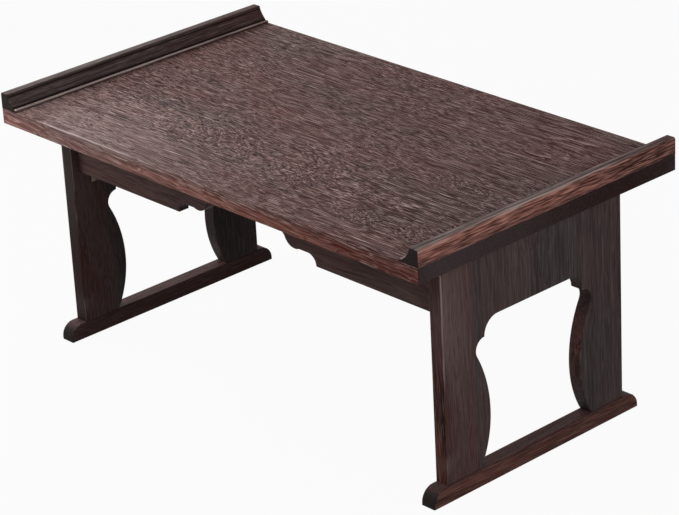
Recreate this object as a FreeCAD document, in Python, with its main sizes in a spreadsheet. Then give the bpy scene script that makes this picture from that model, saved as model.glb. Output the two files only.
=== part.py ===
import FreeCAD
import Part
import Sketcher

import math
import os
import re

# Folding low table. X runs along the top, Y from front to back, Z up; the origin is on the
# floor under the middle of the top. Sizes are millimetres.
# Pieces of the right end and of the front are drawn in place, and half a turn about Z gives
# the left end and the back.

DIMENSIONS = {
    # table top
    "table_length": 700.0,
    "table_width": 400.0,
    "top_height": 309.0,
    "slab_thickness": 20.0,
    "slab_arris": 1.5,
    # raised lip on each end of the top
    "lip_height": 19.0,
    "lip_base": 27.0,
    "lip_crown": 12.5,
    "lip_round": 2.0,
    "lip_quirk": 3.0,
    "lip_cove_radius": 26.0,
    "lip_seat_depth": 1.0,
    "lip_seat_room": 0.2,
    # leg panel
    "leg_overhang": 29.0,
    "leg_thickness": 18.0,
    "leg_width": 282.0,
    "leg_arris": 1.0,
    "leg_top_gap": 0.5,
    # opening cut in the leg panel
    "waist_width": 143.0,
    "waist_height": 85.0,
    "foot_flare": 17.0,
    "shoulder_swell": 19.5,
    "shoulder_radius": 13.5,
    "shoulder_height": 163.0,
    "crown_radius": 21.0,
    # sled foot
    "foot_toe": 23.0,
    "foot_height": 20.5,
    "foot_width": 21.0,
    "nose_radius": 17.0,
    "foot_bevel": 2.6,
    # tenons of the posts in the foot
    "post_tenon_width": 34.0,
    "post_tenon_thickness": 9.0,
    "post_tenon_length": 14.0,
    "mortise_clearance": 0.15,
    "mortise_end_room": 1.0,
    # aprons
    "apron_thickness": 15.0,
    "apron_depth": 72.0,
    "apron_setback": 9.0,
    "apron_arris": 1.0,
    "notch_width": 233.0,
    "notch_cove": 13.0,
    "notch_lobe": 17.0,
    "notch_lobe_drop": 1.5,
    "notch_lobe_inset": 34.5,
    "notch_crown_cove": 12.0,
    # hinge rails between the aprons, and battens under the ends of the top
    "rail_thickness": 18.0,
    "rail_gap": 0.6,
    "rail_tenon_thickness": 8.0,
    "rail_tenon_height": 40.0,
    "rail_tenon_length": 8.0,
    "batten_thickness": 17.0,
    # corner blocks
    "block_leg": 32.0,
    "block_height": 36.0,
    # butt hinges
    "hinge_length": 50.0,
    "hinge_apron_gap": 2.0,
    "leaf_width": 15.0,
    "leaf_thickness": 1.5,
    "knuckle_radius": 3.0,
    "knuckle_gap": 0.4,
    "knuckle_end_gap": 0.4,
    "pin_radius": 1.25,
    "pin_clearance": 0.05,
    "leaf_hole_inset": 9.0,
    "leaf_hole_pitch": 17.0,
    # countersunk screws
    "hinge_screw_radius": 1.5,
    "hinge_screw_length": 13.0,
    "hinge_head_radius": 2.9,
    "wood_screw_radius": 2.0,
    "wood_screw_head_radius": 3.9,
    "batten_screw_length": 28.0,
    "batten_screw_pitch": 110.0,
    "block_screw_length": 46.0,
    "screw_clearance": 0.1,
    # dowels
    "frame_dowel_radius": 4.0,
    "frame_dowel_length": 30.0,
    "frame_dowel_seat": 12.0,
    "apron_dowel_near": 70.0,
    "apron_dowel_far": 215.0,
    "rail_dowel_spacing": 90.0,
    "lip_dowel_radius": 3.0,
    "lip_dowel_length": 20.0,
    "lip_dowel_inset": 10.5,
    "lip_dowel_pitch": 110.0,
    "dowel_clearance": 0.05,
    # room beyond the end of a dowel or screw
    "hole_end_room": 0.5,
}
KNUCKLE_COUNT = 5
LEAF_HOLE_COUNT = 3
BATTEN_SCREW_COUNT = 3
LIP_DOWEL_COUNT = 4
# Length of a screw's point, in shank radii
SCREW_POINT_RATIO = 2
# Points closer than this are one point (mm), and a cut removes more than this (mm3)
SAME_PLACE = 1e-4
LEAST_CUT = 1e-3

doc = FreeCAD.newDocument("FoldingLowTable")
sheet = doc.addObject("Spreadsheet::Sheet", "Dims")
for row, (alias, size) in enumerate(DIMENSIONS.items(), start=1):
    sheet.set(f"A{row}", alias.replace("_", " "))
    sheet.set(f"B{row}", str(size))
    sheet.setAlias(f"B{row}", alias)
doc.recompute()

# Places worked out from the driving dimensions, as expressions on the sheet
UNDERSIDE = "(top_height - slab_thickness)"
LEG_OUTER = "(table_length / 2 - leg_overhang)"
LEG_INNER = f"({LEG_OUTER} - leg_thickness)"
LEG_EDGE = "(leg_width / 2)"
LEG_TOP = f"({UNDERSIDE} - batten_thickness - leg_top_gap)"
APRON_FACE = f"({LEG_EDGE} - apron_setback)"
APRON_BACK = f"({APRON_FACE} - apron_thickness)"
APRON_FOOT = f"({UNDERSIDE} - apron_depth)"
RAIL_OUTER = f"({LEG_INNER} - rail_gap)"
RAIL_INNER = f"({RAIL_OUTER} - rail_thickness)"
RAIL_MIDDLE = f"({RAIL_OUTER} - rail_thickness / 2)"
LEAF_FACE = "(knuckle_radius + knuckle_gap)"
PIN_X = f"({LEG_INNER} - {LEAF_FACE})"
PIN_Z = f"({APRON_FOOT} - {LEAF_FACE})"
POST_MIDDLE = f"((waist_width / 2 + foot_flare + {LEG_EDGE}) / 2)"
LIP_INNER = "(table_length / 2 - lip_base)"
LIP_SEAT = "(top_height - lip_seat_depth)"
LIP_DOWEL_X = "(table_length / 2 - lip_dowel_inset)"

ALIAS = re.compile(r"\b(" + "|".join(DIMENSIONS) + r")\b")
HALF_TURN = FreeCAD.Placement(FreeCAD.Vector(), FreeCAD.Rotation(FreeCAD.Vector(0, 0, 1), 180))
SIDES = {"right": FreeCAD.Placement(), "left": HALF_TURN}
FACES = {"front": FreeCAD.Placement(), "back": HALF_TURN}


def cells(expression):
    """The expression with each size named as a cell of the sheet."""
    return ALIAS.sub(r"Dims.\1", expression)


def value(expression):
    """The number that an expression gives now."""
    return sheet.evalExpression(expression)


def new_body(label, placement=FreeCAD.Placement()):
    body = doc.addObject("PartDesign::Body", label)
    body.Label = label
    body.Placement = placement
    return body


def origin_feature(body, role):
    return next(f for f in body.Origin.OriginFeatures if f.Role == role)


def new_sketch(body, name, plane, lift="0", along="0"):
    """A sketch on one of the body's origin planes, lifted along its normal, moved along its X."""
    sketch = body.newObject("Sketcher::SketchObject", name)
    sketch.AttachmentSupport = [(origin_feature(body, plane), "")]
    sketch.MapMode = "FlatFace"
    sketch.setExpression("AttachmentOffset.Base.z", cells(lift))
    sketch.setExpression("AttachmentOffset.Base.x", cells(along))
    return sketch


def pin_point(sketch, geometry, position, x, y):
    """Hold a point of the sketch at the place that two expressions give."""
    for kind, axis, expression in (("DistanceX", -2, x), ("DistanceY", -1, y)):
        if expression == "0":
            sketch.addConstraint(Sketcher.Constraint("PointOnObject", geometry, position, axis))
            continue
        now = value(expression)
        index = sketch.addConstraint(Sketcher.Constraint(kind, -1, 1, geometry, position, now))
        sketch.setExpression(f"Constraints[{index}]", cells(expression))


def arc_between(start, end, radius, leftwards):
    """The shorter arc from start to end that turns left or right on the way."""
    chord = end - start
    reach = math.sqrt(radius ** 2 - (chord.Length / 2) ** 2)
    normal = FreeCAD.Vector(-chord.y, chord.x, 0).normalize()
    centre = (start + end) / 2 + normal * (reach if leftwards else -reach)
    first, last = (start, end) if leftwards else (end, start)
    angles = [math.atan2(p.y - centre.y, p.x - centre.x) for p in (first, last)]
    return Part.ArcOfCircle(Part.Circle(centre, FreeCAD.Vector(0, 0, 1), radius), *angles)


def draw_outline(sketch, corners):
    """Close an outline through corners (x, y); (x, y, radius, turn) bends the side that follows."""
    points = [FreeCAD.Vector(value(c[0]), value(c[1]), 0) for c in corners]
    ends = []
    for k, corner in enumerate(corners):
        start, end = points[k], points[(k + 1) % len(points)]
        if len(corner) == 2:
            ends.append((sketch.addGeometry(Part.LineSegment(start, end)), 1, 2))
            continue
        leftwards = corner[3] == "left"
        arc = arc_between(start, end, value(corner[2]), leftwards)
        index = sketch.addGeometry(arc)
        ends.append((index, 1, 2) if leftwards else (index, 2, 1))
        radius = sketch.addConstraint(Sketcher.Constraint("Radius", index, value(corner[2])))
        sketch.setExpression(f"Constraints[{radius}]", cells(corner[2]))
    for k, corner in enumerate(corners):
        before, after = ends[k - 1], ends[k]
        sketch.addConstraint(Sketcher.Constraint("Coincident", before[0], before[2], after[0], after[1]))
        pin_point(sketch, after[0], after[1], corner[0], corner[1])


def draw_rectangle(sketch, x_low, x_high, y_low, y_high):
    draw_outline(sketch, [(x_low, y_low), (x_high, y_low), (x_high, y_high), (x_low, y_high)])


def draw_circle(sketch, x, y, radius):
    circle = Part.Circle(FreeCAD.Vector(value(x), value(y), 0), FreeCAD.Vector(0, 0, 1), value(radius))
    index = sketch.addGeometry(circle)
    held = sketch.addConstraint(Sketcher.Constraint("Radius", index, value(radius)))
    sketch.setExpression(f"Constraints[{held}]", cells(radius))
    pin_point(sketch, index, 3, x, y)


def pad(body, sketch, length, backwards=False, side_type="One side"):
    feature = body.newObject("PartDesign::Pad", sketch.Name + "_pad")
    feature.Profile = sketch
    feature.SideType = side_type
    feature.Reversed = backwards
    feature.setExpression("Length", cells(length))
    return feature


def pocket(body, sketch, depth=None, backwards=False, side_type="One side"):
    """Cut against the sketch's normal, or along it when backwards; right through without a depth."""
    feature = body.newObject("PartDesign::Pocket", sketch.Name + "_cut")
    feature.Profile = sketch
    feature.SideType = side_type
    feature.Reversed = backwards
    if depth is None:
        feature.Type = "ThroughAll"
    else:
        feature.setExpression("Length", cells(depth))
    return feature


def drill(body, name, plane, lift, places, radius, depth, backwards=False):
    """Round blind holes at several places of one plane."""
    sketch = new_sketch(body, name, plane, lift)
    for x, y in places:
        draw_circle(sketch, x, y, radius)
    return pocket(body, sketch, depth, backwards)


def countersink(body, name, lift, along, mouth, far, radius, head_radius):
    """A screw hole up from the height of its mouth, with a right-angled countersink."""
    sketch = new_sketch(body, name, "XZ_Plane", lift, along)
    head = f"({head_radius} + screw_clearance)"
    shank = f"({radius} + screw_clearance)"
    draw_outline(sketch, [
        ("0", mouth),
        (head, mouth),
        (shank, f"{mouth} + {head} - {shank}"),
        (shank, far),
        ("0", far),
    ])
    groove = body.newObject("PartDesign::Groove", name + "_cut")
    groove.Profile = sketch
    groove.ReferenceAxis = (sketch, ["V_Axis"])
    groove.Angle = 360
    return groove


def repeat_along(body, feature, role, length, count):
    pattern = body.newObject("PartDesign::LinearPattern", feature.Name + "_row")
    pattern.Originals = [feature]
    pattern.Direction = (origin_feature(body, role), [""])
    pattern.setExpression("Length", cells(length))
    pattern.Occurrences = count
    body.Tip = pattern
    return pattern


def ease_edges(body, size, wanted):
    """Chamfer the edges of the body so far whose middle point is wanted."""
    doc.recompute()
    base = body.Tip
    names = []
    for number, edge in enumerate(base.Shape.Edges, start=1):
        middle = edge.valueAt((edge.FirstParameter + edge.LastParameter) / 2)
        if wanted(middle):
            names.append(f"Edge{number}")
    chamfer = body.newObject("PartDesign::Chamfer", body.Name + "_arris")
    chamfer.Base = (base, names)
    chamfer.setExpression("Size", cells(size))
    return chamfer


def near(a, b):
    return abs(a - b) < SAME_PLACE


def spread(count, pitch):
    """Expressions for places along a line, a pitch apart and centred on zero."""
    return [f"{k - (count - 1) / 2} * {pitch}" for k in range(count)]


FRAME_DOWELS = [(f"{s} * apron_dowel_{d}", f"{t} * ({APRON_FACE} - apron_thickness / 2)")
                for s in (-1, 1) for d in ("near", "far") for t in (-1, 1)]
FRAME_DOWELS += [(f"{s} * {RAIL_MIDDLE}", f"{t} * rail_dowel_spacing / 2")
                 for s in (-1, 1) for t in (-1, 1)]
LIP_DOWEL_PLACES = [(f"{s} * {LIP_DOWEL_X}", y) for s in (-1, 1)
                    for y in spread(LIP_DOWEL_COUNT, "lip_dowel_pitch")]
BATTEN_SCREW_PLACES = [(f"{s} * ({LEG_INNER} + leg_thickness / 2)", y) for s in (-1, 1)
                       for y in spread(BATTEN_SCREW_COUNT, "batten_screw_pitch")]
# a block's screw stands at the middle of its three-cornered plan
BLOCK_SCREW_X = f"({RAIL_INNER} - block_leg / 3)"
BLOCK_SCREW_Y = f"({APRON_BACK} - block_leg / 3)"
BLOCK_SCREW_PLACES = [(f"{s} * {BLOCK_SCREW_X}", f"{t} * {BLOCK_SCREW_Y}")
                      for s in (-1, 1) for t in (-1, 1)]
BATTEN_FOOT = f"({UNDERSIDE} - batten_thickness)"
BLOCK_FOOT = f"({UNDERSIDE} - block_height)"
FRAME_DOWEL_HOLE = "(frame_dowel_radius + dowel_clearance)"
LIP_DOWEL_HOLE = "(lip_dowel_radius + dowel_clearance)"
WOOD_SCREW_HOLE = "(wood_screw_radius + screw_clearance)"


def build_top_panel():
    body = new_body("top_panel")
    slab = new_sketch(body, "slab", "XY_Plane", UNDERSIDE)
    draw_rectangle(slab, "-table_length / 2", "table_length / 2", "-table_width / 2", "table_width / 2")
    pad(body, slab, "slab_thickness")
    seats = new_sketch(body, "lip_seats", "XZ_Plane")
    shoulder = f"({LIP_INNER} - lip_seat_room)"
    for ends in (("-table_length / 2", f"-{shoulder}"), (shoulder, "table_length / 2")):
        draw_rectangle(seats, *ends, LIP_SEAT, "top_height")
    pocket(body, seats, side_type="Symmetric")
    top, edge_y = value("top_height"), value("table_width / 2")
    ease_edges(body, "slab_arris", lambda middle: near(middle.z, top) and near(abs(middle.y), edge_y))
    drill(body, "lip_dowel_holes", "XY_Plane", LIP_SEAT, LIP_DOWEL_PLACES, LIP_DOWEL_HOLE,
          "lip_dowel_length / 2 + hole_end_room")
    drill(body, "frame_dowel_holes", "XY_Plane", UNDERSIDE, FRAME_DOWELS, FRAME_DOWEL_HOLE,
          "frame_dowel_seat + hole_end_room", backwards=True)
    drill(body, "batten_screw_holes", "XY_Plane", UNDERSIDE, BATTEN_SCREW_PLACES, WOOD_SCREW_HOLE,
          "batten_screw_length - batten_thickness + hole_end_room", backwards=True)
    drill(body, "block_screw_holes", "XY_Plane", UNDERSIDE, BLOCK_SCREW_PLACES, WOOD_SCREW_HOLE,
          "block_screw_length - block_height + hole_end_room", backwards=True)
    return body


def build_end_lip(label, placement):
    """A square outer face, a rounded crown, a coved inner face and a small quirk at its foot."""
    body = new_body(label, placement)
    profile = new_sketch(body, "lip_profile", "XZ_Plane")
    crown = "top_height + lip_height"
    outer = "table_length / 2"
    draw_outline(profile, [
        (outer, LIP_SEAT),
        (outer, f"{crown} - lip_round", "lip_round", "left"),
        (f"{outer} - lip_round", crown),
        (f"{outer} - lip_crown", crown, "lip_cove_radius", "right"),
        (f"{LIP_INNER} + lip_quirk", "top_height + lip_quirk"),
        (LIP_INNER, "top_height + lip_quirk"),
        (LIP_INNER, LIP_SEAT),
    ])
    pad(body, profile, "table_width", side_type="Symmetric")
    places = [(LIP_DOWEL_X, y) for y in spread(LIP_DOWEL_COUNT, "lip_dowel_pitch")]
    drill(body, "lip_dowel_holes", "XY_Plane", LIP_SEAT, places, LIP_DOWEL_HOLE,
          "lip_dowel_length / 2 + hole_end_room", backwards=True)
    return body


def build_end_batten(label, placement):
    body = new_body(label, placement)
    block = new_sketch(body, "batten_face", "YZ_Plane", LEG_INNER)
    draw_rectangle(block, f"-{LEG_EDGE}", LEG_EDGE, BATTEN_FOOT, UNDERSIDE)
    pad(body, block, "leg_thickness")
    span = f"{BATTEN_SCREW_COUNT - 1} * batten_screw_pitch"
    hole = countersink(body, "batten_screw_hole", f"{span} / 2", f"{LEG_INNER} + leg_thickness / 2",
                       BATTEN_FOOT, UNDERSIDE, "wood_screw_radius", "wood_screw_head_radius")
    repeat_along(body, hole, "Y_Axis", span, BATTEN_SCREW_COUNT)
    return body


def cut_out_outline():
    """The leg's opening: flared at the foot, waisted, swelling to a round shoulder, coved on top."""
    waist = "(waist_width / 2)"
    lobe = f"({waist} + shoulder_swell - shoulder_radius)"
    rise = "(shoulder_height - waist_height)"
    fall = "(waist_height - foot_height)"
    lower_radius = f"(({fall}^2 + foot_flare^2) / (2 * foot_flare))"
    # the upper side arc stands upright at the waist and meets the shoulder's circle smoothly
    step = f"({lobe} - {waist})"
    upper_radius = f"(({step}^2 + {rise}^2 - shoulder_radius^2) / (2 * (shoulder_radius + {step})))"
    share = f"(shoulder_radius / ({upper_radius} + shoulder_radius))"
    meet_x = f"({lobe} + ({upper_radius} - {step}) * {share})"
    meet_z = f"(shoulder_height - {rise} * {share})"
    cusp_z = "(shoulder_height + shoulder_radius)"
    right = [
        (f"({waist} + foot_flare)", "foot_height", lower_radius, "right"),
        (waist, "waist_height", upper_radius, "right"),
        (meet_x, meet_z, "shoulder_radius", "left"),
        (lobe, cusp_z, "crown_radius", "left"),
        (f"({lobe} - crown_radius)", f"{cusp_z} + crown_radius"),
    ]
    bends = [corner[2:] for corner in right[:-1]]
    left = [(f"-{right[-1][0]}", right[-1][1], *bends[-1])]
    for corner, bend in zip(reversed(right[1:-1]), reversed(bends[:-1])):
        left.append((f"-{corner[0]}", corner[1], *bend))
    left.append((f"-{right[0][0]}", right[0][1]))
    return right + left


def hinge_places():
    """The hinges' middles along Y, front first, each just inside its apron."""
    middle = f"({APRON_BACK} - hinge_apron_gap - hinge_length / 2)"
    return {"front": f"-{middle}", "back": middle}


def leaf_screw_rows(middle):
    return [f"{middle} + {y}" for y in spread(LEAF_HOLE_COUNT, "leaf_hole_pitch")]


def build_leg_panel(label, placement):
    body = new_body(label, placement)
    panel = new_sketch(body, "panel", "YZ_Plane", LEG_INNER)
    draw_rectangle(panel, f"-{LEG_EDGE}", LEG_EDGE, "foot_height", LEG_TOP)
    pad(body, panel, "leg_thickness")
    edge_y = value(LEG_EDGE)
    ease_edges(body, "leg_arris", lambda middle: near(abs(middle.y), edge_y)
               and near(middle.z, value(f"(foot_height + {LEG_TOP}) / 2")))
    opening = new_sketch(body, "opening", "YZ_Plane", LEG_OUTER)
    draw_outline(opening, cut_out_outline())
    pocket(body, opening)
    tenons = new_sketch(body, "post_tenons", "XY_Plane", "foot_height")
    for side in ("-", ""):
        draw_rectangle(
            tenons,
            f"{LEG_INNER} + (leg_thickness - post_tenon_thickness) / 2",
            f"{LEG_INNER} + (leg_thickness + post_tenon_thickness) / 2",
            f"{side}{POST_MIDDLE} - post_tenon_width / 2",
            f"{side}{POST_MIDDLE} + post_tenon_width / 2",
        )
    pad(body, tenons, "post_tenon_length", backwards=True)
    screw_z = f"{PIN_Z} - leaf_hole_inset"
    places = [(y, screw_z) for middle in hinge_places().values() for y in leaf_screw_rows(middle)]
    drill(body, "hinge_screw_holes", "YZ_Plane", LEG_INNER, places,
          "hinge_screw_radius + screw_clearance",
          "hinge_screw_length - leaf_thickness + hole_end_room", backwards=True)
    return body


def build_foot(label, placement):
    """Flush with the panel inside, proud of it outside, with a bevel back to the panel's face."""
    body = new_body(label, placement)
    side = new_sketch(body, "foot_side", "YZ_Plane", LEG_INNER)
    toe = f"({LEG_EDGE} + foot_toe)"
    draw_outline(side, [
        (f"-{toe}", "0"),
        (toe, "0"),
        (toe, "foot_height - nose_radius", "nose_radius", "left"),
        (f"{toe} - nose_radius", "foot_height"),
        (f"-({toe} - nose_radius)", "foot_height", "nose_radius", "left"),
        (f"-{toe}", "foot_height - nose_radius"),
    ])
    pad(body, side, "foot_width")
    outer = value(f"{LEG_INNER} + foot_width")
    ease_edges(body, "foot_bevel", lambda middle: near(middle.x, outer)
               and middle.z > value("foot_height - nose_radius / 2"))
    mortises = new_sketch(body, "post_mortises", "XY_Plane", "foot_height")
    room = "mortise_clearance"
    for mirror in ("-", ""):
        draw_rectangle(
            mortises,
            f"{LEG_INNER} + (leg_thickness - post_tenon_thickness) / 2 - {room}",
            f"{LEG_INNER} + (leg_thickness + post_tenon_thickness) / 2 + {room}",
            f"{mirror}{POST_MIDDLE} - post_tenon_width / 2 - {room}",
            f"{mirror}{POST_MIDDLE} + post_tenon_width / 2 + {room}",
        )
    pocket(body, mortises, "post_tenon_length + mortise_end_room")
    return body


def apron_outline():
    """Lower edge: a cove up from each corner, a hanging lobe, then a cove into the high middle."""
    end = RAIL_OUTER
    foot = APRON_FOOT
    corner = "notch_width / 2"
    cove_top = f"({foot} + notch_cove)"
    crown = f"({cove_top} + notch_lobe - notch_lobe_drop)"
    lobe = f"({corner} - notch_lobe_inset)"
    lobe_start = f"({lobe} + sqrt(2 * notch_lobe * notch_lobe_drop - notch_lobe_drop^2))"
    # the crown's cove levels out at the crown and meets the lobe's circle smoothly
    run = "sqrt(notch_lobe^2 + 2 * notch_lobe * notch_crown_cove)"
    share = "(notch_lobe / (notch_lobe + notch_crown_cove))"
    meet_x = f"({lobe} - {run} * {share})"
    meet_z = f"({crown} - notch_crown_cove * {share})"
    level = f"({lobe} - {run})"
    return [
        (end, UNDERSIDE),
        (f"-{end}", UNDERSIDE),
        (f"-{end}", foot),
        (f"-{corner}", foot, "notch_cove", "right"),
        (f"-({corner} - notch_cove)", cove_top),
        (f"-{lobe_start}", cove_top, "notch_lobe", "left"),
        (f"-{meet_x}", meet_z, "notch_crown_cove", "right"),
        (f"-{level}", crown),
        (level, crown, "notch_crown_cove", "right"),
        (meet_x, meet_z, "notch_lobe", "left"),
        (lobe_start, cove_top),
        (f"{corner} - notch_cove", cove_top, "notch_cove", "right"),
        (corner, foot),
        (end, foot),
    ]


def rail_tenon_heights(room="0"):
    middle = f"({APRON_FOOT} + apron_depth / 2)"
    return f"{middle} - rail_tenon_height / 2 - {room}", f"{middle} + rail_tenon_height / 2 + {room}"


def build_apron(label, placement):
    body = new_body(label, placement)
    face = new_sketch(body, "apron_face", "XZ_Plane", APRON_FACE)
    draw_outline(face, apron_outline())
    pad(body, face, "apron_thickness", backwards=True)
    front = value(f"-{APRON_FACE}")
    corner = value("notch_width / 2")
    foot = value(APRON_FOOT)
    ease_edges(body, "apron_arris", lambda middle: near(middle.y, front)
               and near(middle.z, foot) and abs(middle.x) > corner)
    mortises = new_sketch(body, "rail_mortises", "XZ_Plane", APRON_BACK)
    low, high = rail_tenon_heights("mortise_clearance")
    half = "(rail_tenon_thickness / 2 + mortise_clearance)"
    for mirror in ("-", ""):
        draw_rectangle(mortises, f"{mirror}{RAIL_MIDDLE} - {half}", f"{mirror}{RAIL_MIDDLE} + {half}",
                       low, high)
    pocket(body, mortises, "rail_tenon_length + mortise_end_room", backwards=True)
    middle_y = f"-({APRON_FACE} - apron_thickness / 2)"
    places = [(f"{s} * apron_dowel_{d}", middle_y) for s in (-1, 1) for d in ("near", "far")]
    drill(body, "frame_dowel_holes", "XY_Plane", UNDERSIDE, places, FRAME_DOWEL_HOLE,
          "frame_dowel_length - frame_dowel_seat + hole_end_room")
    return body


def build_hinge_rail(label, placement):
    body = new_body(label, placement)
    rail = new_sketch(body, "rail", "YZ_Plane", RAIL_INNER)
    draw_rectangle(rail, f"-{APRON_BACK}", APRON_BACK, APRON_FOOT, UNDERSIDE)
    pad(body, rail, "rail_thickness")
    tenon = new_sketch(body, "rail_tenons", "YZ_Plane", f"{RAIL_MIDDLE} - rail_tenon_thickness / 2")
    low, high = rail_tenon_heights()
    reach = f"({APRON_BACK} + rail_tenon_length)"
    draw_rectangle(tenon, f"-{reach}", reach, low, high)
    pad(body, tenon, "rail_tenon_thickness")
    drill(body, "frame_dowel_holes", "XY_Plane", UNDERSIDE,
          [(RAIL_MIDDLE, f"{t} * rail_dowel_spacing / 2") for t in (-1, 1)], FRAME_DOWEL_HOLE,
          "frame_dowel_length - frame_dowel_seat + hole_end_room")
    screw_x = f"{PIN_X} - leaf_hole_inset"
    places = [(screw_x, y) for middle in hinge_places().values() for y in leaf_screw_rows(middle)]
    drill(body, "hinge_screw_holes", "XY_Plane", APRON_FOOT, places,
          "hinge_screw_radius + screw_clearance",
          "hinge_screw_length - leaf_thickness + hole_end_room", backwards=True)
    return body


def build_corner_block(label, side_x, side_y):
    body = new_body(label)
    corner_x = f"{side_x} * {RAIL_INNER}"
    corner_y = f"{side_y} * {APRON_BACK}"
    plan = new_sketch(body, "block_plan", "XY_Plane", BLOCK_FOOT)
    draw_outline(plan, [
        (corner_x, corner_y),
        (f"{side_x} * ({RAIL_INNER} - block_leg)", corner_y),
        (corner_x, f"{side_y} * ({APRON_BACK} - block_leg)"),
    ])
    pad(body, plan, "block_height")
    countersink(body, "block_screw_hole", f"-{side_y} * {BLOCK_SCREW_Y}", f"{side_x} * {BLOCK_SCREW_X}",
                BLOCK_FOOT, UNDERSIDE, "wood_screw_radius", "wood_screw_head_radius")
    return body


def build_hinge_leaf(label, gaps, placement):
    """A leaf about its pin along Y: the plate lies above the pin and runs out towards -X."""
    body = new_body(label, placement)
    plate = new_sketch(body, "plate", "XZ_Plane")
    draw_rectangle(plate, "-leaf_width", "0", f"{LEAF_FACE} - leaf_thickness", LEAF_FACE)
    pad(body, plate, "hinge_length", side_type="Symmetric")
    barrel = new_sketch(body, "barrel", "XZ_Plane")
    draw_circle(barrel, "0", "0", "knuckle_radius")
    draw_circle(barrel, "0", "0", "pin_radius + pin_clearance")
    pad(body, barrel, "hinge_length", side_type="Symmetric")
    windows = new_sketch(body, "knuckle_gaps", "XY_Plane", f"-{LEAF_FACE}")
    share = f"hinge_length / {KNUCKLE_COUNT}"
    for number in gaps:
        low = f"-hinge_length / 2 + {number} * {share} - knuckle_end_gap / 2"
        high = f"-hinge_length / 2 + {number + 1} * {share} + knuckle_end_gap / 2"
        draw_rectangle(windows, f"-{LEAF_FACE}", LEAF_FACE, low, high)
    pocket(body, windows, backwards=True)
    span = f"{LEAF_HOLE_COUNT - 1} * leaf_hole_pitch"
    hole = countersink(body, "leaf_screw_hole", f"{span} / 2", "-leaf_hole_inset",
                       f"{LEAF_FACE} - leaf_thickness", LEAF_FACE,
                       "hinge_screw_radius", "hinge_head_radius")
    repeat_along(body, hole, "Y_Axis", span, LEAF_HOLE_COUNT)
    return body


def build_hinge_pin(label, placement):
    pin = doc.addObject("Part::Cylinder", label)
    pin.Label = label
    pin.setExpression("Radius", cells("pin_radius"))
    pin.setExpression("Height", cells("hinge_length"))
    lying = FreeCAD.Placement(FreeCAD.Vector(0, value("hinge_length / 2"), 0),
                              FreeCAD.Rotation(FreeCAD.Vector(1, 0, 0), 90))
    pin.Placement = placement.multiply(lying)
    return pin


def screw_shape(radius, head_radius, length):
    """A countersunk screw pointing up from the middle of its head."""
    taper = head_radius - radius
    point = length - SCREW_POINT_RATIO * radius
    profile = [(0, 0), (head_radius, 0), (radius, taper), (radius, point), (0, length)]
    points = [FreeCAD.Vector(x, 0, z) for x, z in profile]
    face = Part.Face(Part.makePolygon(points + points[:1]))
    return face.revolve(FreeCAD.Vector(), FreeCAD.Vector(0, 0, 1), 360)


def build_group(label, shape, placements):
    """Copies of one fastener as separate solids under one name."""
    group = doc.addObject("Part::Feature", label)
    group.Label = label
    copies = []
    for placement in placements:
        copy = shape.copy()
        copy.Placement = placement
        copies.append(copy)
    group.Shape = Part.makeCompound(copies)
    return group


def at(x, y, z, rotation=FreeCAD.Rotation()):
    return FreeCAD.Placement(FreeCAD.Vector(value(x), value(y), value(z)), rotation)


def upright_row(places, z):
    return [at(x, y, z) for x, y in places]


# A leg leaf is a rail leaf with X and Z changed over: half a turn about the line between them
LEAF_TURN = FreeCAD.Rotation(FreeCAD.Vector(1, 0, 1), 180)
RAIL_LEAF_GAPS = range(1, KNUCKLE_COUNT, 2)
LEG_LEAF_GAPS = range(0, KNUCKLE_COUNT, 2)


def build_hinges():
    """Four hinges, with their screws gathered by the body that carries them."""
    pieces = []
    screws = {"rail": [], "right_leg": [], "left_leg": []}
    mouth = f"({LEAF_FACE} - leaf_thickness)"
    for side, turn in SIDES.items():
        for end, middle in hinge_places().items():
            hinge = turn.multiply(at(PIN_X, middle, PIN_Z))
            if side == "left":
                end = "front" if end == "back" else "back"
            leg = hinge.multiply(FreeCAD.Placement(FreeCAD.Vector(), LEAF_TURN))
            name = f"{side}_{end}_hinge"
            pieces.append(build_hinge_leaf(f"{name}_rail_leaf", RAIL_LEAF_GAPS, hinge))
            pieces.append(build_hinge_leaf(f"{name}_leg_leaf", LEG_LEAF_GAPS, leg))
            pieces.append(build_hinge_pin(f"{name}_pin", hinge))
            for y in spread(LEAF_HOLE_COUNT, "leaf_hole_pitch"):
                place = at("-leaf_hole_inset", y, mouth)
                screws["rail"].append(hinge.multiply(place))
                screws[f"{side}_leg"].append(leg.multiply(place))
    screw = screw_shape(value("hinge_screw_radius"), value("hinge_head_radius"),
                        value("hinge_screw_length"))
    for carrier, placements in screws.items():
        pieces.append(build_group(f"{carrier}_hinge_screws", screw, placements))
    return pieces


def build_fasteners():
    """Dowels and screws that hold the top's own frame together."""
    frame_dowel = Part.makeCylinder(value("frame_dowel_radius"), value("frame_dowel_length"))
    lip_dowel = Part.makeCylinder(value("lip_dowel_radius"), value("lip_dowel_length"))
    sizes = (value("wood_screw_radius"), value("wood_screw_head_radius"))
    batten_screw = screw_shape(*sizes, value("batten_screw_length"))
    block_screw = screw_shape(*sizes, value("block_screw_length"))
    dowel_foot = f"{UNDERSIDE} + frame_dowel_seat - frame_dowel_length"
    return [
        build_group("frame_dowels", frame_dowel, upright_row(FRAME_DOWELS, dowel_foot)),
        build_group("lip_dowels", lip_dowel,
                    upright_row(LIP_DOWEL_PLACES, f"{LIP_SEAT} - lip_dowel_length / 2")),
        build_group("batten_screws", batten_screw, upright_row(BATTEN_SCREW_PLACES, BATTEN_FOOT)),
        build_group("corner_block_screws", block_screw, upright_row(BLOCK_SCREW_PLACES, BLOCK_FOOT)),
    ]


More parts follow.
